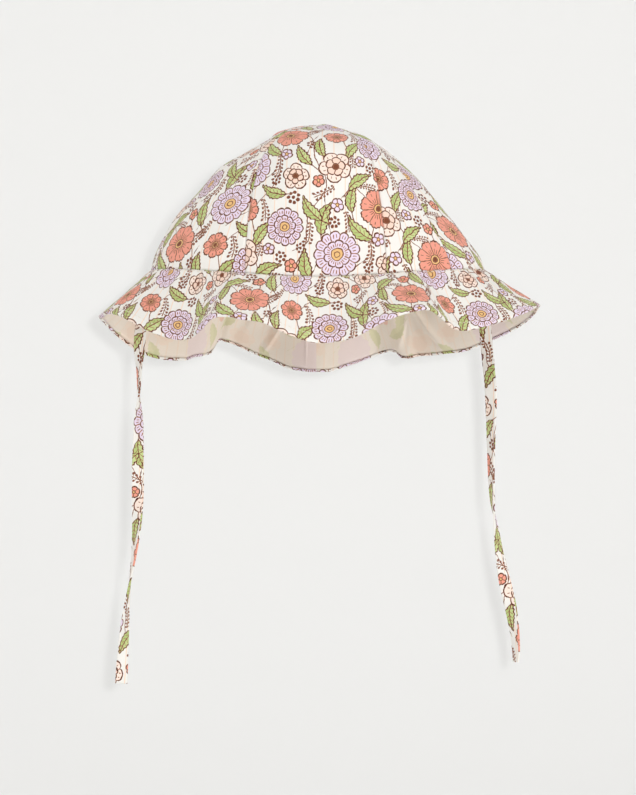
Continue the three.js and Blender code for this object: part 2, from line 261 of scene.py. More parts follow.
def column(
    rows: Sequence[NamedTuple],
    key: Optional[str],
    name: str,
    place: np.ndarray,
    period: float = 0.0,
) -> np.ndarray:
    """One column of a table at any places, on a smooth curve through the rows.

    Args:
        rows: the table.
        key: the column that the places are measured along, or None for the rows' own numbers.
        name: the column that is read.
        place: where it is read.
        period: the length after which the rows repeat, or 0 for a table with two ends.

    Returns:
        The column's value at each place.
    """
    spots = range(len(rows)) if key is None else [getattr(row, key) for row in rows]
    spots = np.array(spots, dtype=float)
    values = np.array([getattr(row, name) for row in rows], dtype=float)
    place = np.asarray(place, dtype=float)
    if period:
        place = np.mod(place, period)
        spots = np.concatenate((spots[-2:] - period, spots, spots[:2] + period))
        values = np.concatenate((values[-2:], values, values[:2]))
    index = np.arange(len(spots))
    after = np.minimum(index + 1, len(spots) - 1)
    before = np.maximum(index - 1, 0)
    slopes = (values[after] - values[before]) / (spots[after] - spots[before])
    low = np.clip(np.searchsorted(spots, place, side="right") - 1, 0, len(spots) - 2)
    span = spots[low + 1] - spots[low]
    t = (place - spots[low]) / span
    return (
        values[low] * (1 + 2 * t) * (1 - t) ** 2
        + slopes[low] * span * t * (1 - t) ** 2
        + values[low + 1] * t * t * (3 - 2 * t)
        + slopes[low + 1] * span * t * t * (t - 1)
    )


def heading(around: np.ndarray) -> np.ndarray:
    """Unit vectors outward from the line through the top, at angles round from the front."""
    angle = np.radians(around)
    return np.stack((np.sin(angle), -np.cos(angle), np.zeros_like(angle)), axis=-1)


def ripples(rows: Iterable[Ripple], across: np.ndarray, along: np.ndarray) -> np.ndarray:
    """The summed height of low waves at places on the cloth.

    Args:
        rows: the waves.
        across: places across the cloth in millimetres.
        along: places along the cloth in millimetres.

    Returns:
        The height in millimetres.
    """
    height = np.zeros(np.broadcast(across, along).shape)
    for row in rows:
        turns = across * row.across + along * row.along
        height = height + row.height * np.sin(2 * math.pi * turns + row.start)
    return height


def wobble(rows: Iterable[tuple[int, float, float]], angle: np.ndarray) -> np.ndarray:
    """The summed waves round the hat: whole turns, a start and a height for each."""
    return sum(height * np.sin(turns * angle + start) for turns, start, height in rows)


def grid_normals(points: np.ndarray, closes_round: bool) -> np.ndarray:
    """Outward unit normals of a grid of points.

    Args:
        points: rows upward, columns round to the right, seen from outside.
        closes_round: whether the last column meets the first.

    Returns:
        One normal for each point.
    """
    if closes_round:
        round_step = np.roll(points, -1, axis=1) - np.roll(points, 1, axis=1)
    else:
        round_step = np.gradient(points, axis=1)
    up_step = np.gradient(points, axis=0)
    normals = np.cross(round_step, up_step)
    return normals / np.maximum(np.linalg.norm(normals, axis=-1, keepdims=True), 1e-12)


@dataclass
class HatForm:
    """The hat's shape, the same as the solids' shape: a domed crown over a waved brim.

    All lengths are millimetres.
    """

    opening_half_width: float = 95.0
    opening_half_depth: float = 62.0
    crown_height: float = 87.6
    crown_lean: float = 10.0
    panel_bow: float = 1.6
    bow_power: float = 2.5
    point_radius: float = 0.8
    section_blend: float = 3.0
    seam_front_dip: float = 6.0
    seam_back_dip: float = 5.0
    seam_side_rise: float = 3.0
    brim_width: float = 46.0
    gather_count: int = 30
    gather_depth: float = 0.9
    gather_reach: float = 0.6
    tuck_count: int = 83
    tuck_depth: float = 0.95
    tuck_reach: float = 0.22
    hem_unevenness: float = 0.4

    def opening_reach(self, around: np.ndarray) -> np.ndarray:
        """How far the opening's edge is from the line through the top, at angles from the front."""
        way = heading(around)
        a = (way[..., 0] / self.opening_half_width) ** 2
        a = a + (way[..., 1] / self.opening_half_depth) ** 2
        b = way[..., 1] * self.crown_lean / self.opening_half_depth**2
        c = (self.crown_lean / self.opening_half_depth) ** 2 - 1
        return (-b + np.sqrt(b * b - a * c)) / a

    def seam_level(self, around: np.ndarray) -> np.ndarray:
        """The level of the brim seam at angles from the front."""
        ends = (-self.seam_front_dip - self.seam_back_dip) / 2
        twist = (self.seam_back_dip - self.seam_front_dip) / 2
        turn = np.cos(np.radians(around))
        return ends * turn * turn + self.seam_side_rise * (1 - turn * turn) + twist * turn

    def seam_points(self, around: np.ndarray) -> np.ndarray:
        """Points on the seam between crown and brim."""
        points = heading(around) * self.opening_reach(around)[..., None]
        points[..., 1] += self.crown_lean
        points[..., 2] += self.seam_level(around)
        return points

    def crown_points(self, around: np.ndarray, along: np.ndarray, across: np.ndarray) -> np.ndarray:
        """Points of the crown's outer face.

        Args:
            around: degrees round from the front.
            along: shares of the way from the seam to the top.
            across: -1 to 1 between a gore's two seams.

        Returns:
            Points in millimetres.
        """
        turn = np.cos(np.radians(around))
        front, back, left, right = (
            column(CROWN_SECTIONS, "along", name, along)
            for name in ("front", "back", "left", "right")
        )
        ends = np.where(turn > 0, front, back)
        sides = np.where(np.sin(np.radians(around)) > 0, right, left)
        lengthwise = np.abs(turn) ** self.section_blend
        share = ends * lengthwise + sides * (1 - lengthwise)
        bow = self.panel_bow * (1 - np.abs(across) ** self.bow_power) * np.sin(math.pi * along)
        reach = np.maximum(self.opening_reach(around) * share + bow, self.point_radius)
        level = self.seam_level(around)
        height = column(CROWN_SECTIONS, "along", "height", along)
        points = heading(around) * reach[..., None]
        points[..., 1] += self.crown_lean
        points[..., 2] += level + (self.crown_height - level) * height
        return points

    def brim_points(self, around: np.ndarray, down: np.ndarray, drawn: float = 1.0) -> np.ndarray:
        """Points of the brim's outer face.

        Args:
            around: degrees round from the front.
            down: 0 at the seam to 1 at the hem.
            drawn: strength of the small tucks that the gathering thread draws up.

        Returns:
            Points in millimetres.
        """
        seam = self.seam_points(around)
        x = seam[..., 0] / self.opening_half_width**2
        y = seam[..., 1] / self.opening_half_depth**2
        size = np.hypot(x, y)
        x, y = x / size, y / size
        sweep, flare, gather, width = (
            column(BRIM_WAVES, "around", name, around, 360)
            for name in ("sweep", "flare", "gather", "width")
        )
        sweep, flare, angle = np.radians(sweep), np.radians(flare), np.radians(around)
        turned = np.stack(
            (x * np.cos(sweep) - y * np.sin(sweep), x * np.sin(sweep) + y * np.cos(sweep), 0 * x),
            axis=-1,
        )
        uneven = self.hem_unevenness * wobble(HEM_WOBBLE, angle)
        length = self.brim_width * width + uneven * 0.5
        lift = np.sin(math.pi * np.minimum(down / self.gather_reach, 1))
        ripple = np.sin(angle * self.gather_count) * self.gather_depth * gather * lift
        strength = 0.65 + 0.35 * np.sin(7 * angle + 2.0) * np.sin(3 * angle)
        fade = np.exp(-((down / self.tuck_reach) ** 2) * 0.5)
        fade = fade * (0.35 + 0.65 * np.minimum(down / 0.06, 1))
        tuck = np.sin(angle * self.tuck_count + wobble(TUCK_WOBBLE, angle))
        tuck = tuck * self.tuck_depth * strength * fade
        ripple = ripple + drawn * tuck * (0.25 + gather * gather)
        out = length * np.sin(flare) * down + ripple * np.cos(flare)
        drop = length * np.cos(flare) * down - ripple * np.sin(flare)
        points = seam + turned * out[..., None]
        points[..., 2] -= drop
        return points


def in_scene(name: str, data: bpy.types.ID) -> bpy.types.Object:
    """A new object in the scene, at the origin."""
    thing = bpy.data.objects.new(name, data)
    bpy.context.scene.collection.objects.link(thing)
    return thing


def metre_mesh(
    name: str,
    points: np.ndarray,
    faces: np.ndarray,
    marks: np.ndarray,
    materials: Sequence[bpy.types.Material],
    kinds: Optional[np.ndarray] = None,
) -> bpy.types.Object:
    """A smooth object in the scene from points and four-sided faces.

    Args:
        name: the object's name.
        points: its points in millimetres.
        faces: four point numbers for each face.
        marks: the place of each face's four corners on the flat cloth, in metres.
        materials: its finishes.
        kinds: which finish each face has, or None where it has one only.

    Returns:
        The new object, at the origin.
    """
    mesh = bpy.data.meshes.new(name)
    mesh.from_pydata((points.reshape(-1, 3) * MM).tolist(), [], faces.tolist())
    layer = mesh.uv_layers.new(name=CLOTH_MAP)
    layer.data.foreach_set("uv", np.ascontiguousarray(marks, dtype=np.float32).ravel())
    for material in materials:
        mesh.materials.append(material)
    if kinds is not None:
        mesh.polygons.foreach_set("material_index", kinds.astype(np.int32))
    mesh.shade_smooth()
    mesh.validate()
    mesh.update()
    return in_scene(name, mesh)


def grid_faces(
    rows: int, columns: int, closes_rows: bool, closes_columns: bool
) -> tuple[np.ndarray, np.ndarray]:
    """The faces of a grid of points, and each corner's row and column.

    Args:
        rows: number of rows.
        columns: number of columns.
        closes_rows: whether the last row meets the first.
        closes_columns: whether the last column meets the first.

    Returns:
        The point numbers of each face, and the unwrapped row and column of each corner.
    """
    row, step = np.meshgrid(
        np.arange(rows if closes_rows else rows - 1),
        np.arange(columns if closes_columns else columns - 1),
        indexing="ij",
    )
    row, step = row.ravel(), step.ravel()
    corners = np.stack(
        (
            np.stack((row, step), axis=-1),
            np.stack((row, step + 1), axis=-1),
            np.stack((row + 1, step + 1), axis=-1),
            np.stack((row + 1, step), axis=-1),
        ),
        axis=1,
    )
    faces = (corners[..., 0] % rows) * columns + corners[..., 1] % columns
    return faces, corners


def sheet_area(points: np.ndarray) -> float:
    """The area of a grid of points in square metres, for points in millimetres."""
    a = points[1:, :-1] - points[:-1, :-1]
    b = points[:-1, 1:] - points[:-1, :-1]
    return float(np.linalg.norm(np.cross(a, b), axis=-1).sum()) * MM * MM


def run_length(points: np.ndarray) -> np.ndarray:
    """The distance from the first point to each point of a line, in the points' own unit."""
    steps = np.linalg.norm(np.diff(points, axis=0), axis=-1)
    return np.concatenate(([0.0], np.cumsum(steps)))


def linear(code: str) -> tuple[float, float, float, float]:
    """A colour that is written as six hex digits, as the shader's own linear numbers."""
    parts = [int(code[start : start + 2], 16) / 255 for start in (0, 2, 4)]
    red, green, blue = (p / 12.92 if p <= 0.04045 else ((p + 0.055) / 1.055) ** 2.4 for p in parts)
    return (red, green, blue, 1.0)


class Wire:
    """A value in a node tree, with arithmetic that adds maths nodes."""

    def __init__(self, tree: bpy.types.NodeTree, source: bpy.types.NodeSocket) -> None:
        """Takes the tree and the socket that gives the value."""
        self.tree = tree
        self.source = source

    def maths(self, operation: str, *others: "Value") -> "Wire":
        """Adds one maths node.

        Args:
            operation: the node's operation.
            others: the values after this one.

        Returns:
            The node's result.
        """
        node = self.tree.nodes.new("ShaderNodeMath")
        node.operation = operation
        for socket, value in zip(node.inputs, (self, *others)):
            connect(self.tree, value, socket)
        return Wire(self.tree, node.outputs[0])

    def __add__(self, other: "Value") -> "Wire":
        """This plus another."""
        return self.maths("ADD", other)

    def __sub__(self, other: "Value") -> "Wire":
        """This less another."""
        return self.maths("SUBTRACT", other)

    def __mul__(self, other: "Value") -> "Wire":
        """This times another."""
        return self.maths("MULTIPLY", other)

    def __truediv__(self, other: "Value") -> "Wire":
        """This over another."""
        return self.maths("DIVIDE", other)

    def __and__(self, other: "Value") -> "Wire":
        """The lesser of this and another: for two masks, where both are."""
        return self.maths("MINIMUM", other)

    def times_plus(self, factor: "Value", extra: "Value") -> "Wire":
        """This times a factor, plus an extra."""
        return self.maths("MULTIPLY_ADD", factor, extra)

    def fraction(self) -> "Wire":
        """What is left over a whole number."""
        return self.maths("FRACT")

    def magnitude(self) -> "Wire":
        """This without its sign."""
        return self.maths("ABSOLUTE")

    def root(self) -> "Wire":
        """The square root, of 0 where this is under 0."""
        return self.maths("MAXIMUM", 0.0).maths("SQRT")

    def wave(self, turns: float, start: float = 0.0) -> "Wire":
        """A sine wave with so many turns to each unit of this."""
        return self.times_plus(2 * math.pi * turns, start).maths("SINE")


Value = Union[Wire, float]


def connect(tree: bpy.types.NodeTree, value: object, socket: bpy.types.NodeSocket) -> None:
    """Gives a socket a value, or links it to a wire."""
    if isinstance(value, Wire):
        tree.links.new(value.source, socket)
    else:
        socket.default_value = value


def flat_axes(tree: bpy.types.NodeTree, cloth: Wire) -> tuple[Wire, Wire]:
    """The places across and along the cloth, from a place on it as a vector."""
    parts = tree.nodes.new("ShaderNodeSeparateXYZ")
    connect(tree, cloth, parts.inputs[0])
    return Wire(tree, parts.outputs[0]), Wire(tree, parts.outputs[1])


def mixed(tree: bpy.types.NodeTree, share: Value, first: object, second: object) -> Wire:
    """Mixes two colours.

    Args:
        tree: the node tree.
        share: how much there is of the second.
        first: a colour or a wire.
        second: a colour or a wire.

    Returns:
        The mixed colour.
    """
    node = tree.nodes.new("ShaderNodeMix")
    node.data_type = "RGBA"
    connect(tree, share, node.inputs["Factor"])
    connect(tree, first, node.inputs[6])
    connect(tree, second, node.inputs[7])
    return Wire(tree, node.outputs[2])


def noise(
    tree: bpy.types.NodeTree, place: Wire, scale: float, detail: float = 2.0, roughness: float = 0.5
) -> bpy.types.Node:
    """Adds a noise texture.

    Args:
        tree: the node tree.
        place: where the noise is read.
        scale: how fine it is.
        detail: how many finer layers it has.
        roughness: how strong the finer layers are.

    Returns:
        The node.
    """
    node = tree.nodes.new("ShaderNodeTexNoise")
    node.inputs["Scale"].default_value = scale
    node.inputs["Detail"].default_value = detail
    node.inputs["Roughness"].default_value = roughness
    connect(tree, place, node.inputs["Vector"])
    return node


def new_material(
    name: str, roughness: float, specular: float
) -> tuple[bpy.types.Material, bpy.types.Node]:
    """A new material and its surface shader, with a roughness and a specular level."""
    material = bpy.data.materials.new(name)
    material.use_nodes = True
    shader = material.node_tree.nodes["Principled BSDF"]
    shader.inputs["Roughness"].default_value = roughness
    shader.inputs["Specular IOR Level"].default_value = specular
    return material, shader


class Pen:
    """Draws shapes over a colour, one after another, in a node tree.

    A mask is 1 or more inside a shape and 0 or less outside it, because a mix of two colours
    clamps its own factor.
    """

    line_half_width: float = 0.28
    thin_half_width: float = 0.16
    stroke_half_width: float = 0.1
    bleed: float = 0.14

    def __init__(
        self,
        tree: bpy.types.NodeTree,
        colour: Wire,
        x: Wire,
        y: Wire,
        size: Wire,
        edge_sharpness: float,
        draws_lines: bool = True,
    ) -> None:
        """Takes what is drawn on, and where the shape's own axes are.

        Args:
            tree: the node tree.
            colour: the colour that is drawn on.
            x: millimetres along the shape.
            y: millimetres across it.
            size: the shape's reach in millimetres.
            edge_sharpness: how fast a mask falls at an edge, for each millimetre.
            draws_lines: whether lines are drawn, or areas of dye only.
        """
        self.edge_sharpness = edge_sharpness
        self.draws_lines = draws_lines
        self.tree = tree
        self.colour = colour
        self.x = x
        self.y = y
        self.size = size

    def reach(self) -> Wire:
        """The distance from the shape's middle."""
        return self.x.times_plus(self.x, self.y * self.y).maths("SQRT")

    def bearing(self) -> Wire:
        """The angle round the shape's middle, in turns."""
        return self.y.maths("ARCTAN2", self.x) * (0.5 / math.pi)

    def inside(self, edge: Wire) -> Wire:
        """A mask of where a signed distance is under 0."""
        return edge.times_plus(-self.edge_sharpness, 0.5)

    def near(self, distance: Wire, half_width: float) -> Wire:
        """A mask of a line, where a distance is less than its half width."""
        sharpness = self.edge_sharpness
        return distance.magnitude().times_plus(-sharpness, 0.5 + sharpness * half_width)

    def lay(self, mask: Wire, dye: object) -> None:
        """Lays a dye over what is drawn so far, as far as the mask lets it."""
        self.colour = mixed(self.tree, mask, self.colour, dye)

    def line(self, distance: Wire, half_width: float, *within: Wire) -> None:
        """Draws a line in the outline's dye, which bleeds a little into the cloth.

        Args:
            distance: the distance from the line's middle.
            half_width: half the line's width in millimetres.
            within: masks of where the line is let through.
        """
        if not self.draws_lines:
            return
        for reach, dye in ((half_width + self.bleed, DYES.bleed), (half_width, DYES.outline)):
            mask = self.near(distance, reach)
            for limit in within:
                mask = mask & limit
            self.lay(mask, dye)


@dataclass(frozen=True)
class PrintDyes:
    """The dyes of the floral print."""

    ground: tuple = linear("f2efea")
    stripe: tuple = linear("f6dcc6")
    outline: tuple = linear("3c1405")
    bleed: tuple = linear("c98c6c")
    lilac: tuple = linear("ebdcee")
    coral: tuple = linear("eea08c")
    blush: tuple = linear("f8e6da")
    deep_blush: tuple = linear("f5d8c8")
    leaf: tuple = linear("b5c87e")
    pale_leaf: tuple = linear("c6d592")
    gold: tuple = linear("ecc284")
    berry: tuple = linear("7c4630")


DYES = PrintDyes()


class Motif(Enum):
    """The shapes of the floral print."""

    ASTER = "aster"
    COSMOS = "cosmos"
    WILD_ROSE = "wild_rose"
    LEAF = "leaf"
    BLOSSOM = "blossom"
    BERRIES = "berries"
    SPRIG = "sprig"
    VINE = "vine"


class Placed(NamedTuple):
    """A motif in the repeat: its kind, its middle in millimetres, its turn, size and dye."""

    motif: Motif
    x: float
    y: float
    turn: float
    size: float
    dye: tuple


def spread(motif: Motif, dye: tuple, *spots: tuple[float, float, float, float]) -> list[Placed]:
    """Motifs of one kind and dye, at spots that each give a middle, a turn and a size."""
    return [Placed(motif, *spot, dye) for spot in spots]


class MotifShapes:
    """Draws each motif of the print from a few shares of its size."""

    def petal_ring(
        self,
        pen: Pen,
        petals: int,
        share: float,
        start: float,
        notch: float,
        dye: object,
        hub: float,
        teeth: float = 0.0,
    ) -> None:
        """Draws a ring of rounded petals with an outline and a line between neighbours.

        Args:
            pen: what draws.
            petals: the number of petals.
            share: the ring's reach as a share of the motif's size.
            start: the turn of the ring, as a share of a petal.
            notch: how deep the gap between two petal tips goes, as a share of the reach.
            dye: the petals' dye.
            hub: where the lines between petals start, as a share of the motif's size.
            teeth: how deep the four teeth of each petal's edge go, as a share of the reach.
        """
        reach = pen.reach()
        bearing = pen.bearing()
        swing = (bearing.times_plus(petals, start)).fraction() - 0.5
        swing = swing.magnitude() * 2
        tip_round = (swing * swing).times_plus(-1.0, 1.0).root()
        tip = tip_round.times_plus(notch, 1.0 - notch)
        if teeth:
            tooth = ((bearing.times_plus(petals * 4.0, 0.0)).fraction() - 0.5).magnitude()
            tip = tooth.times_plus(-2 * teeth, tip)
        edge = (tip * pen.size).times_plus(-share, reach)
        body = pen.inside(edge)
        pen.lay(body, dye)
        gap = swing.times_plus(-math.pi / petals, math.pi / petals) * reach
        beyond_hub = pen.inside(pen.size * hub - reach)
        pen.line(gap, pen.thin_half_width, body, beyond_hub)
        pen.line(edge, pen.line_half_width)

    def rays(self, pen: Pen, count: int, start: float, low: float, high: float) -> None:
        """Draws short strokes that point away from the middle.

        Args:
            pen: what draws.
            count: the number of strokes all round.
            start: the turn of the strokes, as a share of the space between two.
            low: where they start, as a share of the motif's size.
            high: where they end, as a share of the motif's size.
        """
        reach = pen.reach()
        off = ((pen.bearing().times_plus(count, start)).fraction() - 0.5).magnitude()
        gap = off * (2 * math.pi / count) * reach
        band = (reach - pen.size * ((low + high) / 2)).magnitude() - pen.size * ((high - low) / 2)
        pen.line(gap, pen.stroke_half_width, pen.inside(band))

    def disc(self, pen: Pen, share: float, dye: object) -> None:
        """Draws an outlined disc in the middle, a share of the size, if lines are drawn."""
        if not pen.draws_lines:
            return
        edge = pen.size.times_plus(-share, pen.reach())
        pen.lay(pen.inside(edge), dye)
        pen.line(edge, pen.thin_half_width)

    def aster(self, pen: Pen, dye: object) -> None:
        """A flower of two rings of narrow petals round a golden eye."""
        self.petal_ring(pen, 13, 1.0, 0.0, 0.16, dye, 0.62)
        self.rays(pen, 39, 0.5, 0.7, 0.86)
        self.petal_ring(pen, 9, 0.6, 0.5, 0.2, dye, 0.34)
        self.rays(pen, 27, 0.0, 0.34, 0.46)
        self.disc(pen, 0.27, DYES.gold)
        self.disc(pen, 0.12, DYES.gold)

    def cosmos(self, pen: Pen, dye: object) -> None:
        """A flower of eight broad toothed petals with veins, round a golden eye."""
        self.petal_ring(pen, 8, 1.0, 0.0, 0.2, dye, 0.2, 0.05)
        self.rays(pen, 24, 0.5, 0.3, 0.52)
        self.rays(pen, 16, 0.5, 0.68, 0.84)
        self.disc(pen, 0.24, DYES.gold)
        self.disc(pen, 0.13, DYES.berry)

    def wild_rose(self, pen: Pen, dye: object) -> None:
        """A flower of five round petals with a second line inside, round a brown eye."""
        self.petal_ring(pen, 5, 1.0, 0.0, 0.34, dye, 0.16)
        self.rays(pen, 15, 0.5, 0.68, 0.82)
        self.petal_ring(pen, 5, 0.6, 0.5, 0.3, DYES.deep_blush, 0.2)
        self.disc(pen, 0.2, DYES.berry)

    def blossom(self, pen: Pen, dye: object) -> None:
        """A small flower of five petals round a golden eye."""
        self.petal_ring(pen, 5, 1.0, 0.0, 0.3, dye, 0.3)
        self.disc(pen, 0.26, DYES.gold)

    def leaf(self, pen: Pen, dye: object) -> None:
        """A pointed leaf with a midrib that runs on as its stalk, and side veins."""
        share = pen.x / pen.size
        across = pen.x * share * 0.22 + pen.y
        side = across.magnitude()
        taper = share.times_plus(-0.12, 0.36).maths("MAXIMUM", 0.0)
        half = (share * share).times_plus(-1.0, 1.0) * taper * pen.size
        frill = share.wave(3.5).times_plus(0.028, 0.0) * pen.size
        edge = side - half - frill
        body = pen.inside(edge)
        pen.lay(body, dye)
        pen.lay(body & pen.inside(across), DYES.pale_leaf)
        step = pen.size * 0.3
        slant = ((side.times_plus(-0.9, pen.x) / step).fraction() - 0.5) * step
        pen.line(slant, 0.09, pen.inside(side - half * 0.7))
        pen.line(across, 0.19, pen.inside((share + 0.35).magnitude() - 1.15))
        pen.line(edge, pen.line_half_width)

    def berries(self, pen: Pen, dye: object) -> None:
        """A ring of seven berries round an eighth."""
        spoke = ((pen.bearing() * 7.0).fraction() - 0.5) * (2 * math.pi / 7)
        reach = pen.reach()
        px = pen.size.times_plus(-0.7, reach * spoke.maths("COSINE"))
        py = reach * spoke.maths("SINE")
        ring = px.times_plus(px, py * py).maths("SQRT")
        nearest = ring.maths("MINIMUM", reach)
        pen.lay(pen.inside(pen.size.times_plus(-0.25, nearest)), dye)

    def sprig(self, pen: Pen, dye: object) -> None:
        """A bent stem with a bud on each side at even steps."""
        share = pen.x / pen.size
        across = pen.x * share * -0.16 + pen.y
        step = pen.size * 0.34
        cell = ((pen.x / step).fraction() - 0.5) * step
        spread = share.times_plus(-0.09, 0.24) * pen.size
        off = across.magnitude() - spread
        bud = cell.times_plus(cell, off * off).maths("SQRT")
        body = pen.inside(share.magnitude() - 0.96)
        pen.lay(pen.inside(bud - share.times_plus(-0.02, 0.11) * pen.size) & body, dye)
        pen.line(off.times_plus(0.8, cell), 0.12, pen.inside(across.magnitude() - spread), body)
        pen.line(across, pen.thin_half_width, body)

    def vine(self, pen: Pen, _dye: object) -> None:
        """A thin stem that winds up the whole repeat, in one long bend and shorter ones on it."""
        turns = 1 / FloralPrint.repeat_height
        bend = pen.y.wave(turns) * pen.size
        off = pen.y.wave(3 * turns, 0.8).times_plus(2.2, bend) - pen.x
        pen.line(off, pen.thin_half_width)


@dataclass(frozen=True)
class FloralPrint:
    """A half-drop repeat of flowers, leaves and sprigs on cream cotton with woven stripes.

    repeat_width and repeat_height are the repeat's size in millimetres. Every second repeat across
    is dropped by half the height. edge_sharpness is how crisp the print is, for each millimetre,
    and draws_lines is whether it has its outlines. hand_shift is how far the hand-drawn edges
    wander, in millimetres.
    """

    edge_sharpness: float = 14.0
    draws_lines: bool = True
    repeat_width: float = 52.0
    repeat_height: float = 100.0
    stripe_gap: float = 6.6
    stripe_half_width: float = 0.32
    stripe_strength: float = 0.8
    hand_scale: float = 0.16
    hand_shift: float = 2.4
    layout: tuple = (
        *spread(Motif.VINE, DYES.berry, (26.0, 0.0, 0.0, 9.0), (50.0, 30.0, 0.0, -7.0)),
        *spread(Motif.SPRIG, DYES.berry, (32.0, 13.0, 80.0, 6.7), (19.5, 31.0, 100.0, 5.9)),
        *spread(Motif.SPRIG, DYES.berry, (6.0, 46.5, 30.0, 6.3), (51.5, 43.0, 60.0, 6.5)),
        *spread(Motif.SPRIG, DYES.berry, (50.0, 74.5, 80.0, 6.0), (24.5, 87.5, 100.0, 6.5)),
        *spread(Motif.SPRIG, DYES.berry, (2.5, 97.0, 60.0, 5.8), (32.0, 50.5, 170.0, 5.2)),
        *spread(Motif.SPRIG, DYES.berry, (22.0, 66.0, 95.0, 5.0)),
        *spread(Motif.BERRIES, DYES.berry, (30.5, 4.5, 40.0, 3.2), (45.0, 66.5, 15.0, 3.2)),
        *spread(Motif.BERRIES, DYES.berry, (11.5, 30.5, 10.0, 3.6), (34.0, 61.5, 30.0, 3.6)),
        *spread(Motif.BERRIES, DYES.berry, (41.0, 94.0, 0.0, 3.9), (51.0, 27.0, 20.0, 3.4)),
        *spread(Motif.LEAF, DYES.leaf, (25.0, 25.5, 135.0, 9.6), (5.0, 33.0, 72.0, 9.9)),
        *spread(Motif.LEAF, DYES.leaf, (21.0, 44.0, 80.0, 8.1), (26.0, 54.5, 30.0, 8.6)),
        *spread(Motif.LEAF, DYES.leaf, (47.0, 57.0, 100.0, 9.0), (22.5, 75.0, 52.0, 8.6)),
        *spread(Motif.LEAF, DYES.leaf, (50.0, 87.0, 128.0, 8.6), (28.5, 97.0, 160.0, 8.4)),
        *spread(Motif.LEAF, DYES.leaf, (45.5, 19.0, 118.0, 7.9), (3.0, 75.5, 95.0, 7.7)),
        *spread(Motif.BLOSSOM, DYES.lilac, (13.0, 40.0, 15.0, 3.8)),
        *spread(Motif.BLOSSOM, DYES.coral, (39.5, 56.5, 40.0, 3.6)),
        *spread(Motif.BLOSSOM, DYES.lilac, (36.5, 20.5, 5.0, 3.7), (27.0, 65.5, 60.0, 3.3)),
        *spread(Motif.BLOSSOM, DYES.coral, (2.5, 53.5, 25.0, 3.4)),
        *spread(Motif.WILD_ROSE, DYES.blush, (12.0, 62.0, 12.0, 9.2), (42.0, 6.0, 50.0, 7.4)),
        *spread(Motif.COSMOS, DYES.coral, (13.0, 87.5, 20.0, 7.4), (38.0, 38.0, 5.0, 11.6)),
        *spread(Motif.ASTER, DYES.lilac, (36.0, 78.0, 8.0, 10.2), (13.0, 13.0, 0.0, 12.6)),
    )

    def motif_group(self, motif: Motif) -> bpy.types.NodeTree:
        """The node group that draws one motif at its places in the repeat.

        Args:
            motif: the motif to draw.

        Returns:
            The group, made at its first use.
        """
        name = f"{motif.value}_{self.edge_sharpness:g}"
        found = bpy.data.node_groups.get(name)
        if found is not None:
            return found
        tree = bpy.data.node_groups.new(name, "ShaderNodeTree")
        numbers = ("X", "Y", "Centre X", "Centre Y", "Cosine", "Sine", "Size")
        for name in ("Colour", "Dye"):
            tree.interface.new_socket(name, in_out="INPUT", socket_type="NodeSocketColor")
        for name in numbers:
            tree.interface.new_socket(name, in_out="INPUT", socket_type="NodeSocketFloat")
        tree.interface.new_socket("Colour", in_out="OUTPUT", socket_type="NodeSocketColor")
        inlet = tree.nodes.new("NodeGroupInput")
        wires = {socket.name: Wire(tree, socket) for socket in inlet.outputs if socket.name}
        x, y = self.repeat_place(*(wires[name] for name in numbers[:-1]))
        pen = Pen(tree, wires["Colour"], x, y, wires["Size"], self.edge_sharpness, self.draws_lines)
        getattr(MotifShapes(), motif.value)(pen, wires["Dye"])
        outlet = tree.nodes.new("NodeGroupOutput")
        connect(tree, pen.colour, outlet.inputs["Colour"])
        return tree

    def repeat_place(
        self, x: Wire, y: Wire, centre_x: Wire, centre_y: Wire, cosine: Wire, sine: Wire
    ) -> tuple[Wire, Wire]:
        """Finds where a point is from the nearest copy of a motif.

        Args:
            x: the point's place across the cloth in millimetres.
            y: its place along the cloth.
            centre_x: the motif's place across the repeat.
            centre_y: the motif's place along the repeat.
            cosine: the cosine of the motif's turn.
            sine: the sine of the motif's turn.

        Returns:
            Millimetres along and across the motif.
        """
        x, y = x - centre_x, y - centre_y
        repeat = x.times_plus(1 / self.repeat_width, 0.5).maths("FLOOR")
        x = repeat.times_plus(-self.repeat_width, x)
        y = (repeat * 0.5).fraction().times_plus(self.repeat_height, y)
        y = (y.times_plus(1 / self.repeat_height, 0.5)).fraction()
        y = y.times_plus(self.repeat_height, -self.repeat_height / 2)
        along = x.times_plus(cosine, y * sine)
        return along, y.times_plus(cosine, (x * sine) * -1.0)

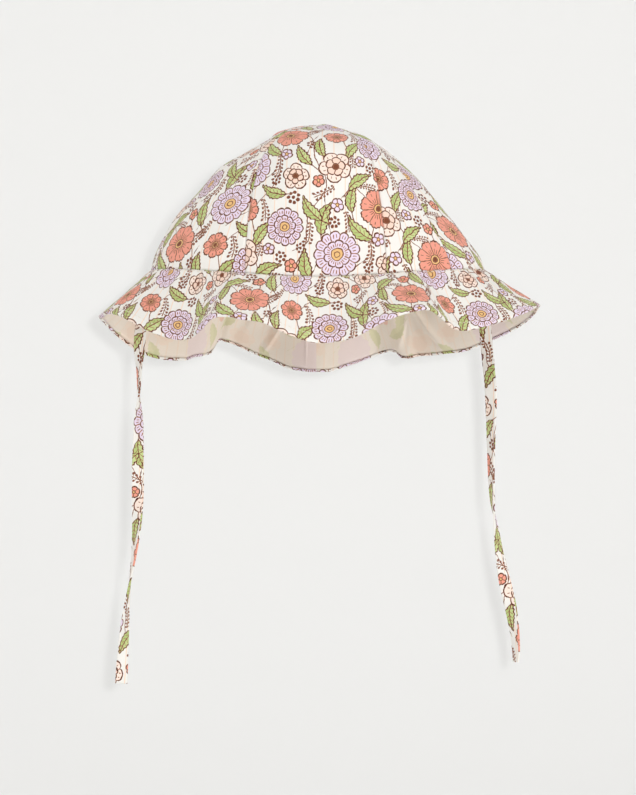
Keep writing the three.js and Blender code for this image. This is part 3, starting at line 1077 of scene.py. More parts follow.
    def draw(self, tree: bpy.types.NodeTree, cloth: Wire) -> Wire:
        """Draws the whole print.

        Args:
            tree: the material's node tree.
            cloth: the place on the flat cloth in millimetres.

        Returns:
            The print's colour.
        """
        hand = noise(tree, cloth, self.hand_scale, 4.0, 0.6)
        shaken = tree.nodes.new("ShaderNodeVectorMath")
        shaken.operation = "MULTIPLY_ADD"
        tree.links.new(hand.outputs["Color"], shaken.inputs[0])
        shaken.inputs[1].default_value = (self.hand_shift, self.hand_shift, 0.0)
        connect(tree, cloth, shaken.inputs[2])
        x, y = flat_axes(tree, Wire(tree, shaken.outputs[0]))
        stripe_place, _ = flat_axes(tree, cloth)
        pen = Pen(tree, self.ground(tree), x, y, x, self.edge_sharpness)
        stripe = ((stripe_place / self.stripe_gap).fraction() - 0.5) * self.stripe_gap
        woven = pen.near(stripe, self.stripe_half_width) & 1.0
        pen.lay(woven * self.stripe_strength, DYES.stripe)
        colour = pen.colour
        for placed in self.layout:
            group = tree.nodes.new("ShaderNodeGroup")
            group.node_tree = self.motif_group(placed.motif)
            turn = math.radians(placed.turn)
            for name, value in (
                ("Colour", colour),
                ("Dye", placed.dye),
                ("X", x),
                ("Y", y),
                ("Centre X", placed.x),
                ("Centre Y", placed.y),
                ("Cosine", math.cos(turn)),
                ("Sine", math.sin(turn)),
                ("Size", placed.size),
            ):
                connect(tree, value, group.inputs[name])
            colour = Wire(tree, group.outputs["Colour"])
        return colour

    def ground(self, tree: bpy.types.NodeTree) -> Wire:
        """The cream ground as a colour of its own."""
        node = tree.nodes.new("ShaderNodeRGB")
        node.outputs[0].default_value = DYES.ground
        return Wire(tree, node.outputs[0])


class Side(Enum):
    """Which side of the printed cotton shows."""

    FACE = "face"
    REVERSE = "reverse"


@dataclass(frozen=True)
class Cotton:
    """A matt plain-weave cotton: thread gap and crumple size are in millimetres."""

    roughness: float = 0.88
    specular: float = 0.22
    sheen: float = 0.12
    thread_gap: float = 0.42
    weave_height: float = 0.035
    crumple_size: float = 3.4
    crumple_height: float = 0.14

    def start(self, name: str) -> tuple[bpy.types.Material, Wire, bpy.types.Node]:
        """Starts a cotton material.

        Args:
            name: the material's name.

        Returns:
            The material, the place on the flat cloth in millimetres, and the surface shader.
        """
        material, shader = new_material(name, self.roughness, self.specular)
        tree = material.node_tree
        shader.inputs["Sheen Weight"].default_value = self.sheen
        shader.inputs["Sheen Roughness"].default_value = 0.5
        marks = tree.nodes.new("ShaderNodeUVMap")
        marks.uv_map = CLOTH_MAP
        scale = tree.nodes.new("ShaderNodeVectorMath")
        scale.operation = "SCALE"
        scale.inputs["Scale"].default_value = 1 / MM
        tree.links.new(marks.outputs[0], scale.inputs[0])
        cloth = Wire(tree, scale.outputs[0])
        self.weave(tree, cloth, shader)
        return material, cloth, shader

    def weave(self, tree: bpy.types.NodeTree, cloth: Wire, shader: bpy.types.Node) -> None:
        """Gives the shader the bump of crossing threads and of soft crumples."""
        across, along = flat_axes(tree, cloth)
        warp = across.wave(1 / self.thread_gap)
        weft = along.wave(1 / self.thread_gap)
        crumple = noise(tree, cloth, 1 / self.crumple_size, 4.0, 0.55)
        soft = Wire(tree, crumple.outputs["Fac"]) * (self.crumple_height * MM)
        height = (warp * weft).times_plus(self.weave_height * MM, soft)
        bump = tree.nodes.new("ShaderNodeBump")
        bump.inputs["Strength"].default_value = 1.0
        bump.inputs["Distance"].default_value = 1.0
        connect(tree, height, bump.inputs["Height"])
        tree.links.new(bump.outputs["Normal"], shader.inputs["Normal"])


@dataclass(frozen=True)
class PrintedCotton(Cotton):
    """Cream cotton with the floral print, seen from its face or, paler, from its reverse."""

    side: Side = Side.FACE
    reverse_share: float = 0.2

    def material(self) -> bpy.types.Material:
        """Makes the material."""
        material, cloth, shader = self.start(f"printed_cotton_{self.side.value}")
        tree = material.node_tree
        colour = FloralPrint().draw(tree, cloth)
        if self.side is Side.REVERSE:
            colour = mixed(tree, self.reverse_share, linear("eee3d6"), colour)
        connect(tree, colour, shader.inputs["Base Color"])
        return material


@dataclass(frozen=True)
class PlainCotton(Cotton):
    """Plain beige cotton that the print's larger areas show through, blurred.

    Its colour has painted shade: it is darkened towards the seam, where the inside of the brim
    lies deepest in shade, and also in random patches, and the print shows through more where it is
    darker. One field gives the share of the ramp towards the seam and one the offset that sets
    where the darkening starts. seam_level is the seam's place along the flat cloth in millimetres,
    and hem_level the hem's.
    """

    show_through: float = 0.7
    least_shown: float = 0.36
    blurred_sharpness: float = 1.6
    seam_level: float = 64.0
    hem_level: float = 17.0
    slub_scale: float = 0.7
    patch_scale: float = 0.07
    patch_share: float = 2.0
    # Painted shade: the share of the darkening ramp towards the seam, then the offset that sets
    # where the painted shade and the random patches start to darken.
    seam_shade_share: float = 2.4
    shade_and_patch_offset: float = 1.2
    seen_through: tuple = (Motif.LEAF, Motif.COSMOS, Motif.WILD_ROSE, Motif.ASTER)

    def material(self) -> bpy.types.Material:
        """Makes the material."""
        material, cloth, shader = self.start("plain_cotton")
        tree = material.node_tree
        slub = noise(tree, cloth, self.slub_scale, 3.0)
        patches = noise(tree, cloth, self.patch_scale)
        _, along = flat_axes(tree, cloth)
        # Painted shade ramp: 0 at the hem and 1 at the seam, where the inside of the brim lies
        # deepest in shade.
        depth = (along - self.hem_level) * (1 / (self.seam_level - self.hem_level))
        patchy = Wire(tree, patches.outputs["Fac"])
        # close is the mask of painted shade towards the seam, added to random darker patches.
        close = patchy.times_plus(self.patch_share, depth * self.seam_shade_share) - self.shade_and_patch_offset
        slubby = Wire(tree, slub.outputs["Fac"]) * 0.5
        light = mixed(tree, slubby, linear("ebdac8"), linear("e0ceb8"))
        # Painted shade: the beige darkens towards c4b394 where that mask is strong.
        beige = mixed(tree, close & 1.0, light, linear("c4b394"))
        layout = tuple(placed for placed in FloralPrint.layout if placed.motif in self.seen_through)
        blurred = FloralPrint(self.blurred_sharpness, draws_lines=False, layout=layout)
        ghost = blurred.draw(tree, cloth)
        # The blurred print shows through more where the painted shade and the patches are.
        held = close.maths("MAXIMUM", 0.0).maths("MINIMUM", 1.0)
        share = held.times_plus(self.show_through, self.least_shown)
        connect(tree, mixed(tree, share, beige, ghost), shader.inputs["Base Color"])
        return material


@dataclass(frozen=True)
class SewingThread:
    """Cream twisted sewing thread."""

    twist_scale: float = 2600.0

    def material(self) -> bpy.types.Material:
        """Makes the material."""
        material, shader = new_material("sewing_thread", 0.7, 0.3)
        tree = material.node_tree
        place = tree.nodes.new("ShaderNodeTexCoord")
        ply = noise(tree, Wire(tree, place.outputs["Object"]), self.twist_scale)
        colour = mixed(tree, Wire(tree, ply.outputs["Fac"]), linear("f4ede0"), linear("dccfbd"))
        connect(tree, colour, shader.inputs["Base Color"])
        return material


@dataclass
class Finishes:
    """All the hat's materials."""

    face: bpy.types.Material = field(default_factory=lambda: PrintedCotton().material())
    reverse: bpy.types.Material = field(
        default_factory=lambda: PrintedCotton(side=Side.REVERSE).material()
    )
    plain: bpy.types.Material = field(default_factory=lambda: PlainCotton().material())
    thread: bpy.types.Material = field(default_factory=lambda: SewingThread().material())


@dataclass
class Stitching:
    """A row of stitches laid on cloth: sizes in millimetres.

    Each row of the profile is a place along the stitch as a share of its length, the thread's
    thickness there, and its height over the cloth, as shares of the thread's radius. The caps
    close the six-sided thread.
    """

    finishes: Finishes
    stitch_length: float = 2.1
    stitch_gap: float = 0.7
    thread_radius: float = 0.17
    profile: tuple = (
        (-0.5, 0.25, -1.2),
        (-0.36, 0.9, 0.1),
        (0.0, 1.0, 0.55),
        (0.36, 0.9, 0.1),
        (0.5, 0.25, -1.2),
    )
    sides: int = 6
    start_cap: tuple = ((0, 3, 2, 1), (0, 5, 4, 3))
    end_cap: tuple = ((0, 1, 2, 3), (0, 3, 4, 5))

    def build(self, name: str, line: np.ndarray, normals: np.ndarray) -> bpy.types.Object:
        """Makes the stitches as one mesh.

        Args:
            name: the object's name.
            line: points of the row, close together, in millimetres.
            normals: the cloth's outward normal at each point.

        Returns:
            The new object.
        """
        run = run_length(line)
        count = int(run[-1] // (self.stitch_length + self.stitch_gap))
        pitch = run[-1] / count
        stations, swell, sink = np.array(self.profile).T
        places = (np.arange(count)[:, None] + 0.5) * pitch + stations[None, :] * self.stitch_length
        centre = np.stack([np.interp(places, run, line[:, axis]) for axis in range(3)], axis=-1)
        up = np.stack([np.interp(places, run, normals[:, axis]) for axis in range(3)], axis=-1)
        up /= np.linalg.norm(up, axis=-1, keepdims=True)
        along = np.gradient(centre, axis=1)
        side = np.cross(along, up)
        side /= np.linalg.norm(side, axis=-1, keepdims=True)
        centre = centre + up * (sink * self.thread_radius)[None, :, None]
        angle = 2 * math.pi * np.arange(self.sides) / self.sides
        ring = (
            side[:, :, None, :] * np.cos(angle)[None, None, :, None]
            + up[:, :, None, :] * np.sin(angle)[None, None, :, None]
        )
        points = centre[:, :, None, :] + ring * (swell * self.thread_radius)[None, :, None, None]
        faces, _ = grid_faces(len(stations), self.sides, False, True)
        last = (len(stations) - 1) * self.sides
        one = np.vstack((faces, self.start_cap, np.array(self.end_cap) + last))[:, ::-1]
        per = len(stations) * self.sides
        every = (one[None, :, :] + (np.arange(count) * per)[:, None, None]).reshape(-1, 4)
        marks = np.zeros((len(every) * 4, 2))
        return metre_mesh(name, points, every, marks, [self.finishes.thread])


@dataclass
class Crown:
    """The crown: six gores of printed cotton, sewn edge to edge. Lengths are millimetres.

    The cloth dips to each seam, with its allowances as a low rise to the left of it. Near the top,
    where a gore gets narrow, the relief fades and the cloth thins. At the base the cloth turns in.
    """

    form: HatForm
    finishes: Finishes
    cloth: float = 0.9
    thin_share: float = 0.15
    rows: int = 96
    columns: int = 56
    edge_crowding: float = 0.3
    seam_gap: float = 0.12
    seam_dip: float = 0.75
    seam_dip_width: float = 0.9
    allowance_width: float = 6.5
    allowance_start: float = 1.2
    allowance_end: float = 1.6
    allowance_lift: float = 0.22
    calm_width: float = 6.0
    fade_width: float = 20.0
    base_turn: float = 0.1
    base_turn_height: float = 0.4
    inner_turn_share: float = 0.35

    def build(self) -> list[bpy.types.Object]:
        """Makes the gores."""
        pieces = []
        for index, gore in enumerate(GORES):
            next_seam = GORES[index + 1].seam if index + 1 < len(GORES) else GORES[0].seam + 360
            pieces.append(self.panel(gore, next_seam))
        return pieces

    def faces(self, gore: Gore, next_seam: float) -> tuple[np.ndarray, np.ndarray, np.ndarray]:
        """Works out a gore's outer and inner face and its place on the flat cloth.

        Args:
            gore: the gore.
            next_seam: the degrees of its right seam.

        Returns:
            The outer points, the inner points, and the flat place of each in millimetres.
        """
        middle, half = (gore.seam + next_seam) / 2, (next_seam - gore.seam) / 2
        even = np.linspace(-1, 1, self.columns)
        across = even * (1 + self.edge_crowding - self.edge_crowding * even * even)
        across, along = np.meshgrid(across, np.linspace(0, 1, self.rows))
        points = self.form.crown_points(middle + half * across, along, across)
        steps = np.linalg.norm(np.diff(points, axis=1), axis=-1)
        run = np.concatenate((np.zeros((self.rows, 1)), np.cumsum(steps, axis=1)), axis=1)
        width = run[:, -1:]
        flat_x = run - width / 2
        up = run_length(points[:, self.columns // 2])[:, None] * np.ones_like(run)
        normals = grid_normals(points, False)
        right = width - run
        to_seam = np.minimum(run, right)
        dip = self.seam_dip * np.exp(-to_seam / self.seam_dip_width)
        rise = np.clip(right / self.allowance_start, 0, 1)
        rise = rise * np.clip((self.allowance_width - right) / self.allowance_end, 0, 1)
        fade = np.clip(width / self.fade_width, 0, 1)
        height = ripples(CROWN_RIPPLES, flat_x + gore.cut_x, up)
        height = height * np.clip(to_seam / self.calm_width, 0, 1) * np.clip(along / 0.08, 0, 1)
        height = height + self.allowance_lift * rise - dip
        base_turn = self.base_turn * np.exp(-up / self.base_turn_height)
        outer = points + normals * (height * fade - base_turn)[..., None]
        thick = self.cloth * np.clip(width / self.calm_width, self.thin_share, 1.0)
        depth = np.minimum(height, 0) * fade - thick - self.inner_turn_share * base_turn
        inner = points + normals * depth[..., None]
        flat = np.stack((flat_x + gore.cut_x, up + gore.cut_y), axis=-1)
        return outer, inner, flat

    def panel(self, gore: Gore, next_seam: float) -> bpy.types.Object:
        """Makes one gore.

        Args:
            gore: the gore.
            next_seam: the degrees of its right seam.

        Returns:
            The new object.
        """
        outer, inner, flat = self.faces(gore, next_seam)
        width = np.linalg.norm(np.diff(outer, axis=1), axis=-1).sum(axis=1)
        shrink = np.minimum(self.seam_gap / np.maximum(width, 0.5), 0.5)
        middle = (outer[:, :1] + outer[:, -1:]) / 2
        for face in (outer, inner):
            face += (middle - face) * shrink[:, None, None]
        rows, columns = self.rows, self.columns
        points = np.concatenate((outer.reshape(-1, 3), inner.reshape(-1, 3)))
        marks = np.concatenate((flat.reshape(-1, 2), flat.reshape(-1, 2))) * MM
        skin, _ = grid_faces(rows, columns, False, False)
        back = skin[:, ::-1] + rows * columns
        ring = np.concatenate(
            (
                np.arange(columns),
                np.arange(1, rows) * columns + columns - 1,
                (rows - 1) * columns + np.arange(columns - 2, -1, -1),
                np.arange(rows - 2, 0, -1) * columns,
            )
        )
        after = np.roll(ring, -1)
        rim = np.stack((ring, ring + rows * columns, after + rows * columns, after), axis=-1)
        every = np.vstack((skin, back, rim))
        kinds = np.concatenate((np.zeros(len(skin)), np.ones(len(back)), np.zeros(len(rim))))
        piece = metre_mesh(
            f"{gore.node}_cloth",
            points,
            every,
            marks[every.ravel()],
            [self.finishes.face, self.finishes.reverse],
            kinds,
        )
        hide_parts(gore.node)
        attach(piece, "root")
        widest, tallest = (float(np.ptp(flat[..., axis])) * MM for axis in (0, 1))
        area = min(sheet_area(outer), widest * tallest)
        return piece


@dataclass
class Brim:
    """The gathered brim, its hem rolled to the inside, its plain facing and its topstitches.

    Lengths are millimetres. outer_shares and inner_shares are the places of the cloth's rows on the
    way down, and cut is where the strip was cut from the print. The facing starts facing_gap below
    the seam, and from the share tucked_from it lies under the rolled hem.
    """

    form: HatForm
    finishes: Finishes
    columns: int = 1248
    cloth: float = 0.5
    cut: tuple[float, float] = (9.0, 64.0)
    outer_shares: tuple[float, ...] = (
        0.0, 0.02, 0.045, 0.075, 0.11, 0.15, 0.2, 0.26, 0.33, 0.41, 0.5, 0.6, 0.7, 0.8, 0.9
    )
    inner_shares: tuple[float, ...] = (0.8, 0.5, 0.25, 0.1, 0.0)
    normal_turn: float = 0.35
    normal_drop: float = 0.02
    first_normal: float = 0.06
    roll_radius: float = 0.85
    roll_back: float = 1.6
    hem_turn: float = 4.0
    seam_gap: float = 0.08
    facing_gap: float = 0.5
    facing_depth: float = 1.35
    facing_cloth: float = 0.35
    facing_short: float = 1.0
    facing_end: float = 0.965
    tucked_depth: float = 0.55
    tucked_from: float = 0.95
    facing_slack: float = 1.5
    least_lift: float = -0.2
    crease_scale: float = 1.35
    crease_swell: float = 0.7
    facing_columns: int = 936
    facing_rows: int = 30
    stitch_above_hem: float = 5.0
    stitch_under_seam: float = 1.0
    joint: float = 181.0

    def build(self) -> list[bpy.types.Object]:
        """Makes the brim's pieces."""
        around = self.joint + np.arange(self.columns) * 360 / self.columns
        coarse = self.joint + np.arange(self.facing_columns) * 360 / self.facing_columns
        hem_row = self.topstitch("hem_topstitch", around, (1.0, -self.stitch_above_hem))
        seam_row = self.topstitch("seam_topstitch", around, (0.0, self.stitch_under_seam))
        return [self.cloth_ring(around), self.facing(coarse), hem_row, seam_row]

    def place(
        self, around: np.ndarray, rows: Sequence[tuple[float, float, float]], drawn: float
    ) -> np.ndarray:
        """Places a cross-section of cloth all round the brim.

        Args:
            around: degrees round from the front.
            rows: for each point of the section, its share of the way down, millimetres more
                towards the hem, and millimetres below the outer face.
            drawn: strength of the small tucks.

        Returns:
            A grid of points, one row for each point of the section.
        """
        table = np.array(rows)
        down = table[:, 0][:, None] + table[:, 1][:, None] / self.form.brim_width
        around, down = np.meshgrid(around, down.ravel())
        base = self.form.brim_points(around, down, drawn)
        read = np.maximum(down, self.first_normal)
        turn, drop = self.normal_turn, self.normal_drop
        right, left, upper, lower = (
            self.form.brim_points(around + turns, read + drops, 0.0)
            for turns, drops in ((turn, 0.0), (-turn, 0.0), (0.0, -drop), (0.0, drop))
        )
        normals = np.cross(right - left, upper - lower)
        normals /= np.linalg.norm(normals, axis=-1, keepdims=True)
        return base - normals * table[:, 2][:, None, None]

    def ring(
        self,
        name: str,
        around: np.ndarray,
        rows: Sequence[tuple[float, float, float]],
        drawn: float,
        material: bpy.types.Material,
    ) -> tuple[bpy.types.Object, np.ndarray, float]:
        """Makes a closed ring of cloth from one cross-section.

        Args:
            name: the object's name.
            around: degrees round from the front.
            rows: the section, as `place` takes it.
            drawn: strength of the small tucks.
            material: its finish.

        Returns:
            The new object, its points and the hem's length in millimetres.
        """
        points = self.place(around, rows, drawn)
        closed = np.append(around, around[0] + 360)
        strip = run_length(self.form.brim_points(closed, np.ones(len(closed)), 0.0))
        faces, corners = grid_faces(len(rows), len(around), True, True)
        section = [(share * self.form.brim_width + extra, depth) for share, extra, depth in rows]
        run = run_length(np.array(section))
        run = np.append(run, run[-1])
        across_cloth = strip[corners[..., 1]] + self.cut[0]
        marks = np.stack((across_cloth, self.cut[1] - run[corners[..., 0]]), axis=-1) * MM
        piece = metre_mesh(name, points, faces[:, ::-1], marks[:, ::-1].reshape(-1, 2), [material])
        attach(piece, "root")
        return piece, points, float(strip[-1])

    def cloth_ring(self, around: np.ndarray) -> bpy.types.Object:
        """Makes the printed cloth, which turns round the hem and ends on the inside."""
        start = self.seam_gap
        rows = [(share, start * (1 - share), 0.0) for share in self.outer_shares]
        radius = self.roll_radius
        for share in (0.0, 0.2, 0.4, 0.6, 0.8, 1.0):
            angle = math.pi * share
            rows.append((1.0, radius * (math.sin(angle) - 1), radius * (1 - math.cos(angle))))
        rows.append((1.0, -self.roll_back, 2 * radius))
        rows.append((1.0, -self.roll_back, 2 * radius - self.cloth))
        tight = radius - self.cloth
        for share in (1.0, 0.7, 0.3, 0.0):
            angle = math.pi * share
            rows.append((1.0, tight * math.sin(angle) - radius, radius - tight * math.cos(angle)))
        rows += [(share, start * (1 - share), self.cloth) for share in self.inner_shares]
        piece, points, long = self.ring("brim_cloth", around, rows, 1.0, self.finishes.face)
        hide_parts("brim")
        long, wide = long * MM, (self.form.brim_width + self.hem_turn) * MM
        area = min(sheet_area(points[: len(self.outer_shares) + 1]), long * wide)
        return piece

    def facing(self, around: np.ndarray) -> bpy.types.Object:
        """Makes the plain facing, whose lower edge is tucked into the rolled hem."""
        top, tucked, thick = self.facing_depth, self.tucked_depth, self.facing_cloth
        shares = np.linspace(0.0, self.facing_end, self.facing_rows).tolist()
        upper = [
            (share, self.facing_gap * (1 - share), top if share < self.tucked_from else tucked)
            for share in shares
        ]
        upper.append((1.0, -self.facing_short, tucked))
        rows = upper + [(share, extra, depth + thick) for share, extra, depth in upper[::-1]]
        piece, points, long = self.ring("facing_cloth", around, rows, 0.8, self.finishes.plain)
        self.crease(piece, points, around, [row[0] for row in rows])
        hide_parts("brim_facing")
        long, wide = long * MM, self.form.brim_width * MM
        area = min(sheet_area(points[: len(upper)]), long * wide)
        return piece

    def crease(
        self,
        piece: bpy.types.Object,
        points: np.ndarray,
        around: np.ndarray,
        shares: Sequence[float],
    ) -> None:
        """Presses soft creases into the facing, on the side away from the printed cloth.

        Args:
            piece: the facing.
            points: its points in millimetres, which are moved.
            around: degrees round from the front.
            shares: each row's share of the way down.
        """
        depths = [self.place(around, [(0.5, 0.0, depth)], 0.0)[0] for depth in (1.0, 0.0)]
        inward = depths[0] - depths[1]
        for row, share in enumerate(shares):
            if not 0 < share < self.tucked_from:
                continue
            lift = np.full(len(around), self.facing_slack)
            for crease in FACING_CREASES:
                middle = crease.seam_around + (crease.hem_around - crease.seam_around) * share
                off = (np.mod(around - middle + 180, 360) - 180) * self.crease_scale
                lift += crease.height * np.exp(-((off / crease.width) ** 2))
            held = math.sin(math.pi * share / self.tucked_from) ** self.crease_swell
            points[row] += inward * (np.maximum(lift, self.least_lift) * held)[:, None]
        moved = (points.reshape(-1, 3) * MM).astype(np.float32)
        piece.data.vertices.foreach_set("co", moved.ravel())
        piece.data.update()

    def topstitch(
        self, name: str, around: np.ndarray, row: tuple[float, float]
    ) -> bpy.types.Object:
        """Makes a row of stitches round the brim.

        Args:
            name: the object's name.
            around: degrees round from the front.
            row: its share of the way down, and millimetres more towards the hem.

        Returns:
            The new object.
        """
        closed = np.append(around, around[0] + 360)
        section = [(row[0], row[1] + step, 0.0) for step in (-0.5, 0.0, 0.5)]
        grid = self.place(closed, section, 1.0)[::-1]
        normals = grid_normals(grid[:, :-1], True)[1]
        normals = np.vstack((normals, normals[:1]))
        piece = Stitching(self.finishes).build(name, grid[1], normals)
        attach(piece, "root")
        return piece


@dataclass
class Ties:
    """The two flat ties, folded from the printed cotton and stitched."""

    finishes: Finishes
    width: float = 7.0
    thickness: float = 1.15
    steps: int = 260
    edge_sides: int = 5
    face_stations: tuple[float, ...] = (0.72, 0.3, -0.3, -0.72)
    face_height: float = 0.44

    def build(self) -> list[bpy.types.Object]:
        """Makes both ties."""
        return [
            self.tie("tie_left_cloth", "tie_left", LEFT_TIE, (43.0, 78.0)),
            self.tie("tie_right_cloth", "tie_right", RIGHT_TIE, (43.0, 30.0)),
        ]

    def section(self) -> np.ndarray:
        """The tie's rounded flat section: millimetres across and through."""
        half = self.thickness / 2
        flat = self.width / 2 - half
        angles = np.linspace(-math.pi / 2, math.pi / 2, self.edge_sides)
        right = np.stack((flat + np.cos(angles) * half, np.sin(angles) * half), axis=-1)
        inner = np.array(self.face_stations) * flat
        top = np.stack((inner, np.full(len(inner), self.thickness * self.face_height)), axis=-1)
        return np.concatenate((right, top, -right, -top))

    def frames(self, route: Sequence[TiePoint]) -> tuple[np.ndarray, np.ndarray, np.ndarray]:
        """The tie's centre line, and its directions across and through at each step.

        Args:
            route: the tie's route.

        Returns:
            Centres in millimetres, unit vectors across, and unit vectors through the tie.
        """
        place = np.linspace(0, len(route) - 1, self.steps)
        metres = [column(route, None, axis, place) for axis in ("x", "y", "z")]
        centre = np.stack(metres, axis=-1) / MM
        twist = np.radians(column(route, None, "twist", place))[:, None]
        along = np.gradient(centre, axis=0)
        along /= np.linalg.norm(along, axis=-1, keepdims=True)
        front = np.array([0.0, -1.0, 0.0]) - along * (-along[:, 1:2])
        front /= np.linalg.norm(front, axis=-1, keepdims=True)
        level = np.cross(along, front)
        across = level * np.cos(twist) + np.cross(along, level) * np.sin(twist)
        through = front * np.cos(twist) + np.cross(along, front) * np.sin(twist)
        return centre, across, through

    def tie(
        self, name: str, node: str, route: Sequence[TiePoint], cut: tuple[float, float]
    ) -> bpy.types.Object:
        """Makes one tie.

        Args:
            name: the object's name.
            node: the CAD node that it replaces.
            route: its route.
            cut: where it was cut from the print, in millimetres.

        Returns:
            The new object.
        """
        centre, across, through = self.frames(route)
        section = self.section()
        points = (
            centre[:, None, :]
            + across[:, None, :] * section[None, :, :1]
            + through[:, None, :] * section[None, :, 1:]
        )
        sides = len(section)
        faces, corners = grid_faces(self.steps, sides, False, True)
        girth = run_length(np.vstack((section, section[:1])))
        run = run_length(centre)
        across_cloth = girth[corners[..., 1]] + cut[0]
        marks = np.stack((across_cloth, run[corners[..., 0]] + cut[1]), axis=-1) * MM
        caps, cap_marks = [], []
        for end, flip in ((0, True), (self.steps - 1, False)):
            for step in range(sides // 2 - 1):
                quad = [step, step + 1, sides - 2 - step, sides - 1 - step]
                quad = quad if flip else quad[::-1]
                caps.append([end * sides + corner for corner in quad])
                cap_marks.append([[cut[0] * MM, (run[end] + cut[1]) * MM]] * 4)
        every = np.vstack((faces, np.array(caps)))
        all_marks = np.vstack((marks, np.array(cap_marks))).reshape(-1, 2)
        piece = metre_mesh(name, points, every, all_marks, [self.finishes.face])
        settle_normals(piece)
        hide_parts(node)
        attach(piece, "root")
        path = [tuple(float(part) * MM for part in point) for point in centre[::6]]
        path.append(tuple(float(part) * MM for part in centre[-1]))
        return piece


def settle_normals(piece: bpy.types.Object) -> None:
    """Turns the faces of a closed mesh outward."""
    bpy.ops.object.select_all(action="DESELECT")
    piece.select_set(True)
    bpy.context.view_layer.objects.active = piece
    bpy.ops.object.mode_set(mode="EDIT")
    bpy.ops.mesh.select_all(action="SELECT")
    bpy.ops.mesh.normals_make_consistent(inside=False)
    bpy.ops.object.mode_set(mode="OBJECT")
    piece.select_set(False)


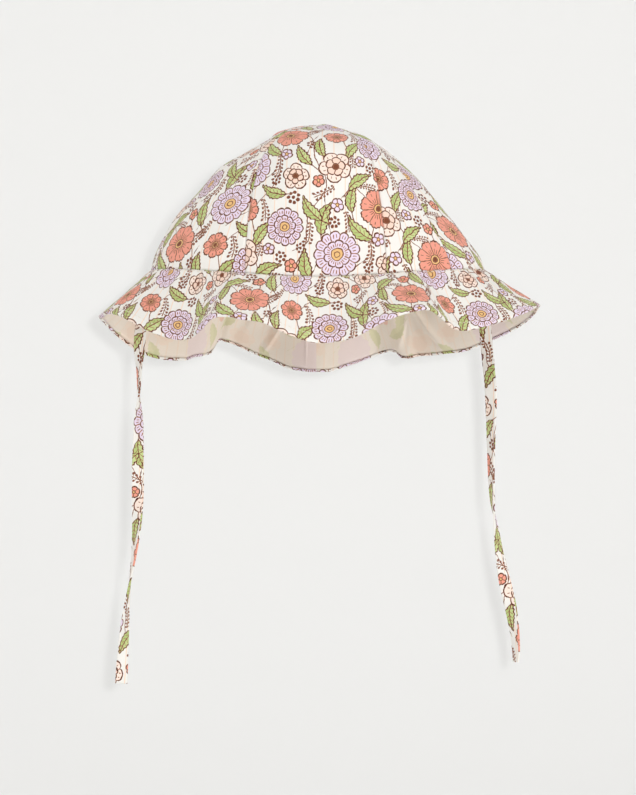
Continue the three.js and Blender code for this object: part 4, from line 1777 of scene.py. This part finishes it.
@dataclass
class Studio:
    """The pale seamless backdrop, the soft lights and the camera. Sizes are metres."""

    camera_distance: float = 1.5
    look_up: float = 3.0
    aim_height: float = -0.069
    pixel: float = 0.567 * MM
    picture_height: int = 795
    sensor: float = 36.0
    floor_level: float = -0.62
    wall_back: float = 2.7
    cove_radius: float = 1.1
    half_width: float = 5.0
    wall_top: float = 3.4
    floor_front: float = -3.0
    cove_steps: int = 24
    paper: tuple[float, float, float, float] = (0.8, 0.8, 0.8 * 0.99, 1.0)
    room_colour: tuple[float, float, float, float] = (1.0, 0.995, 0.985, 1.0)
    room_light: float = 0.66
    lamp_colour: tuple[float, float, float] = (1.0, 0.992, 0.98)
    side_power: float = 12.0
    key_power: float = 15.5
    fill_power: float = 18.0
    wash_power: float = 10.0
    shadow_power: float = 104.0
    shadow_shift: tuple[float, float] = (0.011, 0.006)
    shadow_softness: float = 0.0045
    shadow_cone: float = 46.0
    shadow_blend: float = 0.4

    def build(self) -> None:
        """Makes the whole studio."""
        only_backdrop = bpy.data.collections.new("only_backdrop")
        only_backdrop.objects.link(self.backdrop())
        camera = self.camera()
        self.world()
        self.lights(only_backdrop)
        self.shadow_lamp(camera, only_backdrop)

    def backdrop(self) -> bpy.types.Object:
        """Makes the floor, which curves up into a wall far behind the hat."""
        profile = [(self.floor_front, self.floor_level)]
        for step in range(self.cove_steps + 1):
            angle = math.pi / 2 * step / self.cove_steps
            y = self.wall_back - self.cove_radius + self.cove_radius * math.sin(angle)
            z = self.floor_level + self.cove_radius - self.cove_radius * math.cos(angle)
            profile.append((y, z))
        profile.append((self.wall_back, self.wall_top))
        points = [(x, y, z) for y, z in profile for x in (-self.half_width, self.half_width)]
        faces = [(2 * i, 2 * i + 1, 2 * i + 3, 2 * i + 2) for i in range(len(profile) - 1)]
        mesh = bpy.data.meshes.new("backdrop")
        mesh.from_pydata(points, [], faces)
        mesh.shade_smooth()
        sheet = in_scene("backdrop", mesh)
        material, shader = new_material("backdrop_paper", 1.0, 0.0)
        shader.inputs["Base Color"].default_value = self.paper
        mesh.materials.append(material)
        return sheet

    def camera(self) -> bpy.types.Object:
        """Makes the camera, level with the middle of the picture and looking up a little."""
        tilt = math.radians(self.look_up)
        data = bpy.data.cameras.new("camera")
        data.sensor_width = self.sensor
        data.lens = self.sensor * self.camera_distance / (self.pixel * self.picture_height)
        camera = in_scene("camera", data)
        camera.location = (
            0.0,
            -self.camera_distance * math.cos(tilt),
            self.aim_height - self.camera_distance * math.sin(tilt),
        )
        camera.rotation_euler = (math.pi / 2 + tilt, 0.0, 0.0)
        bpy.context.scene.camera = camera
        return camera

    def world(self) -> None:
        """Gives the room its even pale light."""
        world = bpy.data.worlds.new("room")
        world.use_nodes = True
        background = world.node_tree.nodes["Background"]
        background.inputs["Color"].default_value = self.room_colour
        background.inputs["Strength"].default_value = self.room_light
        bpy.context.scene.world = world
        bpy.context.scene.view_settings.view_transform = "Standard"

    def area_lamp(
        self, name: str, place: tuple, aim: tuple, size: float, power: float
    ) -> bpy.types.Object:
        """Adds a soft round lamp.

        Args:
            name: the lamp's name.
            place: where it stands.
            aim: the point that it faces.
            size: its width.
            power: its power in watts.

        Returns:
            The lamp.
        """
        data = bpy.data.lights.new(name, "AREA")
        data.shape = "DISK"
        data.size = size
        data.energy = power
        data.color = self.lamp_colour
        lamp = in_scene(name, data)
        lamp.location = place
        lamp.rotation_euler = (Vector(aim) - Vector(place)).to_track_quat("-Z", "Y").to_euler()
        lamp.visible_camera = False
        return lamp

    def lights(self, lit: bpy.types.Collection) -> None:
        """Adds a lamp above the camera, one on each side, and a wash on the wall alone."""
        hat = (0.0, 0.0, 0.0)
        self.area_lamp("key", (0.5, -2.3, 1.4), hat, 1.2, self.key_power)
        self.area_lamp("fill", (1.9, -1.3, -0.45), hat, 0.7, self.fill_power)
        self.area_lamp("side", (-1.7, -1.7, 0.7), hat, 1.2, self.side_power)
        wall = (0.0, self.wall_back, 0.0)
        wash = self.area_lamp("wash", (0.0, 0.7, 2.9), wall, 2.4, self.wash_power)
        wash.light_linking.receiver_collection = lit

    def shadow_lamp(self, camera: bpy.types.Object, lit: bpy.types.Collection) -> None:
        """Adds a small lamp beside the camera, for the hat's shadow on the backdrop alone."""
        data = bpy.data.lights.new("shadow_lamp", "SPOT")
        data.energy = self.shadow_power
        data.shadow_soft_size = self.shadow_softness
        data.spot_size = math.radians(self.shadow_cone)
        data.spot_blend = self.shadow_blend
        lamp = in_scene("shadow_lamp", data)
        right, up = self.shadow_shift
        lamp.location = camera.location + Vector((right, 0.0, up))
        lamp.rotation_euler = camera.rotation_euler
        lamp.light_linking.receiver_collection = lit


def main() -> None:
    """Builds the studio and the hat in order, and reports each piece."""
    logging.basicConfig(level=logging.INFO, format="%(message)s")
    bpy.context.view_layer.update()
    Studio().build()
    form = HatForm()
    finishes = Finishes()
    for sub_assembly in (Ties(finishes), Crown(form, finishes), Brim(form, finishes)):
        for piece in sub_assembly.build():
            log.info("%s: %d faces", piece.name, len(piece.data.polygons))


if __name__ == "__main__":
    main()
